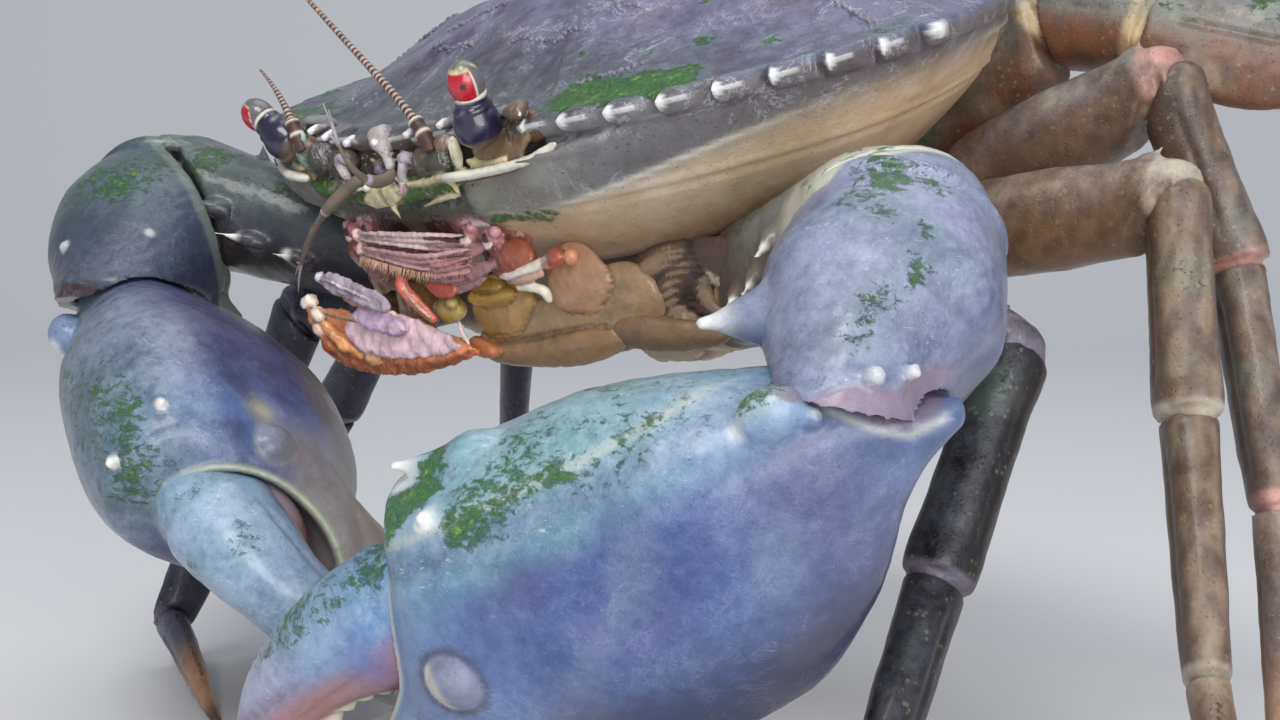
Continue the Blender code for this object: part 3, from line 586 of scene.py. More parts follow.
def planting_tree(name, shape):
    """Plants one small shape on every root point, along the way stored there, each a little different in size."""
    tree = bpy.data.node_groups.new(name, "GeometryNodeTree")
    sockets = tree.interface
    sockets.new_socket("Roots", in_out="INPUT", socket_type="NodeSocketGeometry")
    for label, kind in (("Length", "Float"), ("Width", "Float"), ("Unevenness", "Float"), ("Seed", "Int"),
            ("Finish", "Material")):
        sockets.new_socket(label, in_out="INPUT", socket_type=f"NodeSocket{kind}")
    sockets.new_socket("Planted", in_out="OUTPUT", socket_type="NodeSocketGeometry")
    made = {key: tree.nodes.new(kind) for key, kind in (
        ("given", "NodeGroupInput"), ("result", "NodeGroupOutput"), ("least", "ShaderNodeMath"),
         ("most", "ShaderNodeMath"),
        ("chance", "FunctionNodeRandomValue"), ("shape", shape), ("size", "ShaderNodeCombineXYZ"),
        ("scale", "ShaderNodeVectorMath"), ("way", "GeometryNodeInputNamedAttribute"),
        ("turn", "FunctionNodeAlignRotationToVector"), ("plant", "GeometryNodeInstanceOnPoints"),
        ("real", "GeometryNodeRealizeInstances"), ("finish", "GeometryNodeSetMaterial"))}
    made["least"].operation, made["most"].operation, made["scale"].operation = "SUBTRACT", "ADD", "SCALE"
    made["way"].data_type, made["turn"].axis = "FLOAT_VECTOR", "Z"
    made["way"].inputs["Name"].default_value = "way"
    made["least"].inputs[0].default_value = made["most"].inputs[0].default_value = 1.0
    if shape == "GeometryNodeMeshCone":
        for label, value in (("Vertices", 5), ("Radius Top", 0.06), ("Radius Bottom", 0.5), ("Depth", 1.0)):
            made["shape"].inputs[label].default_value = value
    else:
        made["shape"].inputs["Radius"].default_value = 0.5
        made["shape"].inputs["Subdivisions"].default_value = 2

    def join(start, output, end, entry):
        tree.links.new(made[start].outputs[output], made[end].inputs[entry])

    for start, output, end, entry in (
            ("given", "Unevenness", "least", 1), ("given", "Unevenness", "most", 1), ("least", 0, "chance", 2),
            ("most", 0, "chance", 3), ("given", "Seed", "chance", "Seed"), ("given", "Width", "size", 0),
            ("given", "Width", "size", 1), ("given", "Length", "size", 2), ("size", 0, "scale", 0),
            ("chance", 1, "scale", "Scale"), ("way", 0, "turn", "Vector"), ("given", "Roots", "plant", "Points"),
            ("shape", "Mesh", "plant", "Instance"), ("turn", 0, "plant", "Rotation"), ("scale", 0, "plant", "Scale"),
            ("plant", 0, "real", 0), ("real", 0, "finish", "Geometry"), ("given", "Finish", "finish", "Material"),
            ("finish", 0, "result", 0)):
        join(start, output, end, entry)
    return tree


BRISTLES = planting_tree("bristles_on_points", "GeometryNodeMeshCone")
GRAINS = planting_tree("grains_on_points", "GeometryNodeMeshIcoSphere")


def planted(name, tree, roots, ways, size, colour, slot, node, material, seed=3, uneven=0.3):
    """A piece of many small shapes of size (length, width), planted on roots over the floor."""
    mesh = bpy.data.meshes.new(name)
    mesh.from_pydata((np.asarray(roots) * MM).tolist(), [], [])
    mesh.attributes.new("way", "FLOAT_VECTOR", "POINT").data.foreach_set("vector",
        unit_rows(np.asarray(ways, float)).ravel())
    piece = bpy.data.objects.new(name, mesh)
    bpy.context.scene.collection.objects.link(piece)
    planting = piece.modifiers.new("planting", "NODES")
    planting.node_group = tree
    given = {"Length": size[0] * MM, "Width": size[1] * MM, "Unevenness": uneven, "Seed": seed, "Finish": material}
    for socket in tree.interface.items_tree:
        if socket.in_out == "INPUT" and socket.name in given:
            planting[socket.identifier] = given[socket.name]
    settle(piece)
    spots = spots_of(piece)
    spots[:, 2] = np.maximum(spots[:, 2], 0.0)
    piece.data.vertices.foreach_set("co", (spots * MM).ravel())
    paint(piece, mixed(colour, (tone(colour) * 0.6, 0.7 * ramp(lumps(spots, 3, 12), 0, 0.7))))
    return finish(piece, material, slot, node)


def fringe(line, ways, count, lean, seed):
    """Roots and ways of bristles along a line: the ways follow given directions, each leaning a little."""
    chance = np.random.default_rng(seed)
    line, ways = np.asarray(line, float), np.asarray(ways, float)
    places = np.sort(chance.uniform(0, len(line) - 1, count))
    knots = np.arange(len(line))
    roots = np.column_stack([np.interp(places, knots, line[:, k]) for k in range(3)])
    aims = np.column_stack([np.interp(places, knots, ways[:, k]) for k in range(3)])
    return roots, unit_rows(aims) + chance.normal(0, lean, (count, 3))


# ---------------------------------------------------------------- carapace

FIRST_TOOTH_ANGLE, LAST_TOOTH_ANGLE, SIDE_TEETH, TOOTH_DEPTH = 80.0, 5.5, 9, 4.6


def tooth_place(angle, inset=0.0, forward=0.0):
    """Points of the arc that carries the nine side teeth, inset or moved forward along it."""
    turn = np.radians(angle)
    wide, deep = 0.3 * CARAPACE_WIDTH - inset, 0.31 * CARAPACE_WIDTH - inset
    spot = np.stack([0.2 * CARAPACE_WIDTH + wide * np.cos(turn), 0.33 * CARAPACE_WIDTH - deep * np.sin(turn)],
        axis=-1)
    tangent = np.stack([-np.sin(turn), -np.cos(turn)], axis=-1)
    return spot + tangent * np.asarray(forward)[..., None]


def half_outline():
    """The left half of the edge from front to back: (edge, toothless edge, how much tooth)."""
    front = np.array([(0, 4, 0, 5), (6, 0, 6, 5), (11.5, 4.5, 11.5, 5.5), (17, 1, 17, 6), (22, 5.5, 22, 6.5),
                      (27, 3, 27, 8), (31, 9, 31, 11), (38, 11, 38, 12.5), (45, 9, 45, 11.5),
                      (*tooth_place(FIRST_TOOTH_ANGLE), *tooth_place(FIRST_TOOTH_ANGLE, TOOTH_DEPTH))], float)
    knots = np.arange(len(front))
    places = np.linspace(0, len(front) - 1, 9 * 9, endpoint=False)
    table = np.column_stack([follow(knots, front[:, k], places) for k in range(4)])
    edge, inner = table[:, :2], table[:, 2:]
    lobe = ramp(places, 0.5, 1) * fade(places, 5.4, 6.2) + ramp(places, 8.2, 9)
    step = (FIRST_TOOTH_ANGLE - LAST_TOOTH_ANGLE) / (SIDE_TEETH - 1)
    part = np.tile(np.linspace(0, 1, 20, endpoint=False), SIDE_TEETH - 1)
    tooth = np.repeat(np.arange(SIDE_TEETH - 1), 20)
    angle = FIRST_TOOTH_ANGLE - (tooth + part) * step
    inset = np.where(part < 0.84, TOOTH_DEPTH * np.clip(part / 0.84, 0, 1) ** 0.85,
                     TOOTH_DEPTH * fade(part, 0.84, 1.0))
    forward = 1.9 * np.maximum(hill(part, 0.0, 0.13), hill(part, 1.0, 0.13))
    side_edge = tooth_place(angle, inset, forward)
    side_inner = tooth_place(angle, TOOTH_DEPTH + 0.3)
    back = curve([(97, 63), (93, 86), (72, 112), (50, 130), (33, 136)], 46)[1:, :2]
    across_rear = np.linspace(33, 0, 14)[1:]
    rear = np.column_stack([across_rear, CARAPACE_LENGTH - 2.2 * (across_rear / 33) ** 2])
    last = tooth_place(LAST_TOOTH_ANGLE)[None, :]
    rear_edge = np.vstack([last, back, rear])
    rear_inner = np.vstack([tooth_place(LAST_TOOTH_ANGLE, TOOTH_DEPTH)[None, :], back * 0.985,
                            rear - np.array([0, 2.5])])
    teeth = np.concatenate([lobe, 1 - inset / TOOTH_DEPTH, [1.0], np.zeros(len(rear_edge) - 1)])
    return np.vstack([edge, side_edge, rear_edge]), np.vstack([inner, side_inner, rear_inner]), teeth


def edge_height(spot):
    rise = 2.0 * (np.abs(spot[..., 0]) / HALF_WIDTH) ** 2
    return rise - 5.0 * np.maximum(0.0, (spot[..., 1] - 70) / 68) ** 2


def dome_height(spot, part):
    """Height of the back where part runs from 0 in the middle to 1 at the edge: it is flatter in front."""
    low = edge_height(spot)
    front = np.clip((DOME_CENTRE[1] - spot[..., 1]) / 34.0, 0, 1)
    return low + (DOME_HEIGHT - low) * (1 - part ** (2.3 - 0.3 * front)) ** (0.9 + 1.0 * front)


def belt_height(depth):
    return -30.5 + 0.05 * (depth - 20.0)


def belt_place(spot, shrink=1.0):
    turn = np.arctan2((spot[..., 1] - DOME_CENTRE[1]) / 62.0, spot[..., 0] / HALF_WIDTH)
    reach = np.where(np.sin(turn) < 0, 46.0, 60.0)
    x = 60.0 * shrink * signed_power(np.cos(turn), 0.85)
    y = DOME_CENTRE[1] + reach * shrink * signed_power(np.sin(turn), 0.85)
    return np.stack([x, y, belt_height(y)], axis=-1)


GROOVES = [  # (from, to, width, depth) of the furrows on the left of the back
    ((8, 62), (7, 80), 2.6, 0.9), ((7, 80), (14, 98), 2.6, 0.7), ((8, 62), (22, 54), 3.0, 0.8),
    ((22, 54), (40, 60), 3.2, 0.6), ((40, 60), (52, 74), 3.6, 0.4), ((14, 98), (30, 112), 3.0, 0.4),
    ((9, 20), (7, 44), 2.4, 0.35), ((22, 54), (34, 36), 3.2, 0.45)]
RIDGES = [((58, 61), (93, 55), 1.8, 0.7), ((8, 33), (28, 36), 1.5, 0.5), ((14, 47), (38, 45), 1.5, 0.45)]


def stroke(x, y, start, end, width):
    """How near points lie to a line between two spots."""
    start, way = np.array(start, float), np.array(end, float) - np.array(start, float)
    along = np.clip(((x - start[0]) * way[0] + (y - start[1]) * way[1]) / (way @ way), 0, 1)
    return np.exp(-(((x - start[0] - along * way[0]) ** 2 + (y - start[1] - along * way[1]) ** 2) / width ** 2))


def relief(x, y):
    """Furrows, granule ridges and swellings of the back, the same on both sides."""
    x = np.abs(x)
    height = 0.9 * hill(x, 46, 22) * hill(y, 78, 22) + 0.7 * hill(x, 0, 16) * hill(y, 46, 18)
    for start, end, width, depth in GROOVES:
        height = height - depth * stroke(x, y, start, end, width)
    for start, end, width, rise in RIDGES:
        height = height + rise * stroke(x, y, start, end, width) * (0.6 + 0.4 * np.sin(x * 3.1))
    return height


ORBITS = [(np.array([side * 39.5, 0.5, -3.2]), np.array([12.5, 9.5, 4.6])) for side in (1, -1)]


# The rings of the carapace's side walls: 56 rings of the back and 15 of the lip come before their 36
WALL_RINGS = slice(56 + 15, 56 + 15 + 36)


def carapace():
    """The upper shell: domed back, toothed edge, orbits and the side walls that turn in under it."""
    edge, inner, teeth = half_outline()
    flip = np.array([-1, 1])
    edge = np.vstack([edge, (edge * flip)[-2:0:-1]])
    inner = np.vstack([inner, (inner * flip)[-2:0:-1]])
    teeth = np.concatenate([teeth, teeth[-2:0:-1]])
    low = edge_height(inner)
    rings, weights = [], []
    for part in np.concatenate([np.linspace(0.03, 0.86, 44), np.linspace(0.88, 1.0, 12)]):
        spot = DOME_CENTRE + (inner - DOME_CENTRE) * part
        height = dome_height(inner, part) + relief(spot[:, 0], spot[:, 1]) * (1 - part ** 8)
        rings.append(np.column_stack([spot, height + 1.1 * ramp(np.array(part), 0.93, 1.0)]))
        weights.append(np.zeros(len(inner)))
    for lip in np.linspace(0.06, 0.96, 15):
        out = math.sin(math.pi * lip) ** 0.62
        spot = inner + (edge - inner) * out
        height = edge_height(spot) + 1.1 - 1.5 * ramp(np.array(lip), 0, 0.5) - 3.1 * ramp(np.array(lip), 0.42, 1.0)
        rings.append(np.column_stack([spot, height]))
        tips = ramp(teeth, 0.80, 0.97) * ramp(np.array(out), 0.48, 0.85)
        tips = tips * (0.3 + 0.7 * ramp(np.abs(inner[:, 0]), 40, 49))
        line = ramp(teeth, 0.30, 0.60) * ramp(np.array(out), 0.93, 0.985) * 0.62
        weights.append(np.maximum(tips, line) * fade(np.array(lip), 0.62, 0.85))
    top = np.column_stack([inner, low - 3.5])
    foot = belt_place(inner)
    outward = unit_rows(np.column_stack([inner - DOME_CENTRE, np.zeros(len(inner))]))
    frontal = np.clip(1 - np.maximum(0, inner[:, 1]) / 40.0, 0, None)
    behind = np.clip((inner[:, 1] - 90) / 48.0, 0, None)
    swell = (2.5 + 3.5 * frontal + 4.0 * behind)[:, None]
    for part in np.linspace(0.02, 1.0, 36):
        bulge = swell * math.sin(math.pi * part) + 0.5 * hill(part, 0.44, 0.02) - 0.5 * hill(part, 0.49, 0.02)
        rings.append(top + (foot - top) * part + outward * bulge)
        weights.append(np.zeros(len(inner)))
    for part in (0.9, 0.6, 0.3):
        rings.append(np.column_stack([DOME_CENTRE + (foot[:, :2] - DOME_CENTRE) * part, foot[:, 2]]))
        weights.append(np.zeros(len(inner)))
    rings = np.array(rings)
    for centre, half in ORBITS:
        away = (rings - centre) / half
        wall = centre[1] + half[1] * np.sqrt(np.clip(1 - away[..., 0] ** 2 - away[..., 2] ** 2, 0, None))
        inside = (np.sum(away ** 2, axis=-1) < 1) & (rings[..., 1] < wall)
        rings[..., 1] = np.where(inside, wall, rings[..., 1])
    shelf = -7.9 + 0.14 * (np.abs(rings[..., 0]) - 30)
    forward = ramp(np.abs(rings[..., 0]), 23, 31) * fade(np.abs(rings[..., 0]), 46, 78)
    forward = forward * ramp(shelf - rings[..., 2], -0.4, 0.4) * fade(shelf - rings[..., 2], 4, 20)
    rings[..., 1] -= 7.0 * forward * (rings[..., 1] < 26)
    wall = rings[WALL_RINGS]
    near = 0.5 * (ramp(np.abs(wall[..., 0]), 30, 40) * fade(np.abs(wall[..., 0]), 70, 86))[..., None]
    near[:4] = 0
    for _ in range(140):  # evens out the fold below the orbit's outer corner
        wall += near * (0.5 * (np.roll(wall, 1, axis=1) + np.roll(wall, -1, axis=1)) - wall)
    points, faces = grid_shell(rings, np.array([0, DOME_CENTRE[1], DOME_HEIGHT]), np.array([0, 62, belt_height(62)]))
    piece = piece_from("carapace_shell", [to_bmesh(trunk(points), faces)])
    local = in_trunk(spots_of(piece))
    x, y, z = local.T
    side = np.abs(x)
    tooth = np.concatenate([np.array(weights).ravel(), [0, 0]])
    on_top = ramp(z - edge_height(local[:, :2]), -1.2, 0.4)
    under = 1 - on_top
    line = belt_height(y) + 14.5 + 8.5 * ramp(side, 40, 95)
    lower = under * fade(z, line - 0.8 - 5 * ramp(side, 50, 90), line + 0.3 + 3 * ramp(side, 60, 90))
    orbit = np.zeros(len(x))
    for centre, half in ORBITS:
        orbit = np.maximum(orbit, fade(np.sum(((local - centre) / (half * 1.08)) ** 2, axis=1), 0.82, 1.1))
    face = fade(y, 6, 14) * fade(side, 26, 34) * under
    cloud = lumps(local, 15, 60)
    rising = ramp(np.hypot(side - 78, y - 10), 12, 46)
    tint = mixed(
        "58546E",
        ("665C82", hill(side, 30, 30) * hill(y, 74, 40) * ramp(cloud, -0.6, 0.5)),
        ("3E3B3A", 0.85 * fade(y, 16, 50)),
        ("5C4E54", on_top * 0.6 * ramp(cloud, 0.3, 0.9)),
        ("747274", under),
        ("8C887A", under * hill(z, -12, 7) * fade(side, 44, 64)),
        ("5C4E50", under * (0.5 + 0.5 * ramp(cloud, -0.2, 0.6)) * ramp(side, 58, 88) * (1 - lower)),
        ("E2C296", lower),
        ("CEBEAA", lower * (1 - rising) * 0.6),
        ("D6CEBC", hill(z, line + 0.3, 0.55) * under * fade(side, 74, 92)),
        ("CCA67E", lower * fade(z, belt_height(y) + 3, belt_height(y) + 9)),
        ("704C34", lower * fade(z, belt_height(y) + 0.2, belt_height(y) + 1.6) * 0.8),
        ("4A382E", orbit),
        ("543E32", face * 0.9),
        ("E8EAE8", ramp(tooth, 0.45, 0.8)))
    bearing = np.degrees(np.arctan2((66 - y) / 62, (side - 40) / 60))
    inset = 60 * (1 - np.hypot((side - 40) / 60, (66 - y) / 62))
    bed = ramp(inset, 2.0, 5) * fade(inset, 14, 25) * on_top
    weed = 1.15 * bed * ramp(bearing, 44, 54) * fade(bearing, 82, 92) * (1 - 0.4 * (x < 0))
    weed = weed + 0.7 * bed * (hill(bearing, 30, 6) + hill(bearing, 12, 7)) * fade(inset, 7, 12)
    for spot, wide in (((52, 34), 2.0), ((60, 40), 2.4), ((66, 32), 1.6), ((50, 50), 1.4), ((74, 44), 2.2),
            ((36, 30), 1.2)):
        weed = weed + 0.9 * hill(np.hypot(side - spot[0], y - spot[1]), 0, wide) * on_top
    weed = weed + 0.15 * on_top * fade(y, 14, 40) * fade(side, 30, 46)
    weed = weed + 0.6 * face * hill(z, -12, 6)
    weed = weed + 0.8 * under * hill(z, line - 1.0, 1.8) * ramp(side, 26, 34) * fade(side, 44, 54)
    weed = weed * fade(tooth, 0.3, 0.6)
    frost = on_top * (0.12 + 0.15 * hill(y, 40, 30)) + 0.1 * under
    paint(piece, tint, weed, frost * (1 - orbit))
    return finish(piece, BACK, "back_shell", "carapace")


def back_granules():
    """The rows of granules on the ridges of the back, on both sides."""
    chance = np.random.default_rng(21)
    roots = []
    for start, end, count in (((58, 61), (93, 55), 60), ((8, 33), (28, 36), 34), ((14, 47), (38, 45), 40),
            ((44, 22), (54, 30), 20)):
        for mirror in (1, -1):
            for part in np.linspace(0, 1, count):
                spot = np.array(start) + (np.array(end) - start) * part + chance.normal(0, 0.35, 2)
                roots.append((mirror * spot[0], spot[1]))
    roots = np.array(roots)
    away = roots - DOME_CENTRE
    inner = half_outline()[1]
    bearing = np.arctan2(np.abs(away[:, 0]), -away[:, 1])
    rim = inner - DOME_CENTRE
    order = np.argsort(np.arctan2(rim[:, 0], -rim[:, 1]))
    reach = np.interp(bearing, np.arctan2(rim[:, 0], -rim[:, 1])[order], np.hypot(*rim.T)[order])
    part = np.clip(np.hypot(*away.T) / reach, 0, 0.98)
    at_rim = DOME_CENTRE + away / np.maximum(part, 0.02)[:, None]
    height = dome_height(at_rim, part) + relief(roots[:, 0], roots[:, 1]) * (1 - part ** 8)
    ways = np.column_stack([away * 0.008, np.ones(len(roots))]) @ TILT.T
    planted("carapace_granules", GRAINS, trunk(np.column_stack([roots, height])), ways, (0.9, 1.1), "787484",
            "back_shell", "carapace", BACK)


carapace()
back_granules()


# ---------------------------------------------------------------- breast and tail

CLAWS = {
    "left": {"mirror": 1, "hip": (38, 42, -45), "ischium": 14.0, "merus": (56.0, 83, 14, 0),
             "carpus": (43.0, 34, -42, 0), "wrist": 0.06, "palm": (79.0, -52, -26, 12), "dactyl": (-76, -31)},
    "right": {"mirror": -1, "hip": (-38, 42, -45), "ischium": 16.0, "merus": (69.0, -52, 15, 0),
              "carpus": (42.0, 50, -36, 0), "wrist": 0.34, "palm": (78.0, 84, -29, 70), "dactyl": (110, -32)},
}
WALKING_LEGS = {
    # for each side: (length, heading, slope) of merus, carpus and propodus, and the dactyl's heading
    2: {"hip": (44, 61, -46), "left": ((65, 86, -10), (41, 10, -60), (40, 26, -46), 32),
        "right": ((67, -55, -11), (40, -18, -68), (41, 8, -60), 78)},
    3: {"hip": (47, 76, -44), "left": ((72, 100, 8), (39, 52, -70), (46, 49, -60), 50),
        "right": ((70, -74, -14), (38, -76, -54), (46, -80, -48), -84)},
    4: {"hip": (47, 91, -41), "left": ((62, 103, 23), (36, 113, -68), (46, 58, -62), 60),
        "right": ((65, -98, -6), (36, -112, -58), (44, -118, -52), -122)},
}
SWIMMING_LEG = {"hip": (40, 106, -36), "merus": (39, 112, 48), "carpus": (22, 102, -6),
                "propodus": (34, 116, -12), "paddle": (50, 120, 2)}
DACTYL_LENGTH = 52.0


def drum(stretch, half, height, reach):
    """The first joint of a limb, with its folded skin: a ribbed drum."""
    rows = []
    for along in np.linspace(-reach, 4.0 - CUT, 15):
        wide = 0.85 + 0.15 * ramp(along, -reach, 0) + 0.05 * math.sin(along * 1.9)
        rows.append((along, half * wide, height * wide, height * wide))
    return stretch.shell(rows, square=2.2, around=40, start_dome=0.2, end_dome=0.1, spacing=0.7)


def mirrored(place, side):
    """A place of the left side, or the same place on the right."""
    return np.array([place[0] * (1 if side == "left" else -1), place[1], place[2]], float)


def limb_roots():
    roots = []
    for pose in CLAWS.values():
        ischium = Stretch(trunk(pose["hip"]), pose["ischium"], *pose["merus"][1:3], pose["mirror"])
        roots.append(drum(ischium, 10.0, 11.0, 14.0))
    for side, mirror in (("left", 1), ("right", -1)):
        for pose in WALKING_LEGS.values():
            roots.append(drum(Stretch(trunk(mirrored(pose["hip"], side)), *pose[side][0], mirror), 7.5, 8.5, 13.0))
        length, heading, slope = SWIMMING_LEG["merus"]
        root = Stretch(trunk(mirrored(SWIMMING_LEG["hip"], side)), length, heading * mirror, slope, mirror)
        roots.append(drum(root, 7.8, 9.0, 12.0))
    return roots


def thorax():
    """The breast under the carapace, plated in bands between the limbs, with the first joint of each."""
    turn = np.linspace(0, 2 * math.pi, 160, endpoint=False)
    outline = np.column_stack([HALF_WIDTH * np.cos(turn), DOME_CENTRE[1] + 62 * np.sin(turn)])
    drops = np.concatenate([np.linspace(CUT, 8, 8), np.linspace(9, 19, 12), np.linspace(19.6, STERNUM_DROP, 6)])
    rings = []
    for drop in drops:
        shrink = follow([CUT, 8, 19, STERNUM_DROP], [0.86, 0.82, 0.66, 0.5], drop)
        forward = follow([CUT, 8, 19, STERNUM_DROP], [7, 8, 9, 8], drop)
        spot = belt_place(outline, shrink)
        depth = spot[:, 1] + forward
        rings.append(np.column_stack([spot[:, 0], depth, belt_height(depth) - drop]))
    rings = np.array(rings)
    middle = DOME_CENTRE[1] + 8
    top, foot = belt_height(middle) - CUT, belt_height(middle) - STERNUM_DROP
    body = to_bmesh(*grid_shell(np.array([trunk(ring) for ring in rings]), trunk([0, middle, top]),
                                trunk([0, middle, foot])))
    piece = fused("thorax_plates", [body] + limb_roots(), 0.9, 3)
    local = in_trunk(spots_of(piece))
    x, y, z = local.T
    belly = fade(z - belt_height(y), -STERNUM_DROP + 0.5, -STERNUM_DROP + 5)
    seam = np.zeros(len(x))
    for depth in (38, 50, 63, 76, 90, 104):
        bent = depth + 5 - 0.12 * np.abs(x)
        seam = np.maximum(seam, hill(y, bent, 0.8) * ramp(np.abs(x), 8, 12))
    raised(piece, -0.9 * seam * belly + 0.12 * lumps(local, 3.0, 3))
    front = fade(y, 22, 34)
    # the darker brown along the seams between the belly plates is painted shade in their pressed-in grooves
    tint = mixed("8C6C50", ("C4B08C", belly), ("705842", seam * belly * 0.8),
                 ("6E5246", (1 - belly) * 0.85), ("806854", front * (1 - belly)),
                 ("A0805C", (1 - belly) * hill(lumps(local, 7, 5), 0.8, 0.5) * 0.6))
    paint(piece, tint, 0.12 * (1 - belly), 0.1, 0.2)
    return finish(piece, BELLY, "belly_shell", "thorax")


def abdomen():
    """The tail folded flat under the breast: seven bands that widen to the back."""
    knots = np.array([(3.0, 52), (6.5, 66), (9, 84), (17, 98), (15, 112)], float)
    lines = np.linspace(52, 112, 61)
    half = np.maximum(0.6, follow(knots[:, 1], knots[:, 0], lines)) * (1 - 0.8 * fade(lines, 50, 57))
    bands = np.array([52, 62, 71, 80, 88, 96, 104, 112.5])
    rings = []
    for number, depth in enumerate(lines):
        into = depth - bands[np.searchsorted(bands, depth, side="right") - 1]
        step = 0.45 * fade(into, 0.0, 1.2)
        turn = np.linspace(0, 2 * math.pi, 40, endpoint=False)
        wide = half[number] * signed_power(np.cos(turn), 0.8) * (1 - 0.02 * step)
        low = -STERNUM_DROP - CUT - 1.6
        high = low + 1.5 * signed_power(np.sin(turn), 0.8) + step * (np.sin(turn) < 0)
        rings.append(np.column_stack([wide, np.full(40, depth + 4), belt_height(depth + 4) + high]))
    ends = [trunk([0, depth, belt_height(depth) - STERNUM_DROP - 1.9]) for depth in (55.4, 116.6)]
    piece = piece_from("abdomen_bands", [to_bmesh(*grid_shell(trunk(np.array(rings)), ends[0], ends[1]))])
    local = in_trunk(spots_of(piece))
    tint = mixed("C6B490", ("967654", hill(lumps(local, 9, 8), 0.7, 0.5) * 0.6))
    paint(piece, tint, 0.05, 0.1, 0.0)
    return finish(piece, BELLY, "belly_shell", "abdomen")


thorax()
abdomen()


# ---------------------------------------------------------------- claws

def fold_skin(stretch, start, end, half, above, below, folds=3, depth=0.5):
    """The folded skin of a joint: a drum with ripples round it."""
    places = np.linspace(start, end, folds * 6 + 1)
    ripple = depth * np.cos((places - start) / (end - start) * folds * 2 * math.pi)
    rows = [(along, half + lift, above + lift, below + lift) for along, lift in zip(places, ripple)]
    return stretch.shell(rows, square=2.2, around=48, start_dome=0.25, end_dome=0.25, spacing=0.45)


class Claw:
    """The stretches of one claw, from its ischium to its two fingers."""

    def __init__(self, side):
        pose = CLAWS[side]
        mirror = pose["mirror"]
        long, heading, slope, roll = pose["merus"]
        self.side = side
        self.ischium = Stretch(trunk(pose["hip"]), pose["ischium"], heading, slope, mirror)
        self.merus = Stretch(self.ischium.end, long, heading, slope, mirror, roll)
        self.carpus = Stretch(self.merus.end, *pose["carpus"][:3], mirror, pose["carpus"][3])
        self.palm = Stretch(self.carpus.end, *pose["palm"][:3], mirror, pose["palm"][3])
        self.elbow = joint_plane(self.merus, self.carpus)
        self.wrist = joint_plane(self.carpus, self.palm, pose["wrist"])
        plain = Stretch(self.palm.start, 1.0, *pose["dactyl"], mirror)
        roll = math.degrees(math.atan2(self.palm.dorsal @ plain.outer, self.palm.dorsal @ plain.dorsal))
        hinge = self.palm.at(79 * self.palm.length / 80, 0, 1.5)
        self.dactyl = Stretch(hinge, 64.0, *pose["dactyl"], mirror, roll)


def stretched(rows, length, last):
    """Rows drawn for one length, fitted to another."""
    return [(row[0] * length / last, *row[1:]) for row in rows]


def claw_ischium(claw):
    """The short joint that carries the claw, with a raised rim at its far end."""
    long = claw.ischium.length
    shell = claw.ischium.shell([(4, 9, 10, 10), (0.5 * long, 9.2, 10.3, 10.6), (long - 3, 9.6, 10.6, 11.0),
                                (long - 1, 10.1, 11.1, 11.5), (long, 9.9, 10.9, 11.3)], start_dome=0.2, end_dome=0.3)
    shell = trim(shell, claw.ischium.at(4 + CUT / 2), -claw.ischium.aim)
    shell = trim(shell, claw.ischium.at(long - 0.5), claw.ischium.aim)
    skin = fold_skin(claw.ischium, long - 2.5, long + 2.5, 8.6, 9.6, 9.9, 2)
    piece = fused(f"claw_{claw.side}_ischium_plate", [shell, skin], 0.7, 2)
    spots = spots_of(piece)
    along = claw.ischium.read(spots)[0]
    raised(piece, 0.12 * lumps(spots, 3.5, 11))
    near = ramp(along, long - 1.6, long - 0.6)
    tint = mixed("C4B28C", ("967054", hill(lumps(spots, 6, 2), 0.9, 0.5) * 0.6),
                 ("846854", hill(along, 5, 3) * 0.7), ("D4B882", near * 0.8))
    paint(piece, tint, 0.03, 0.15, near)
    return finish(piece, BELLY, "belly_shell", f"claw_{claw.side}_ischium")


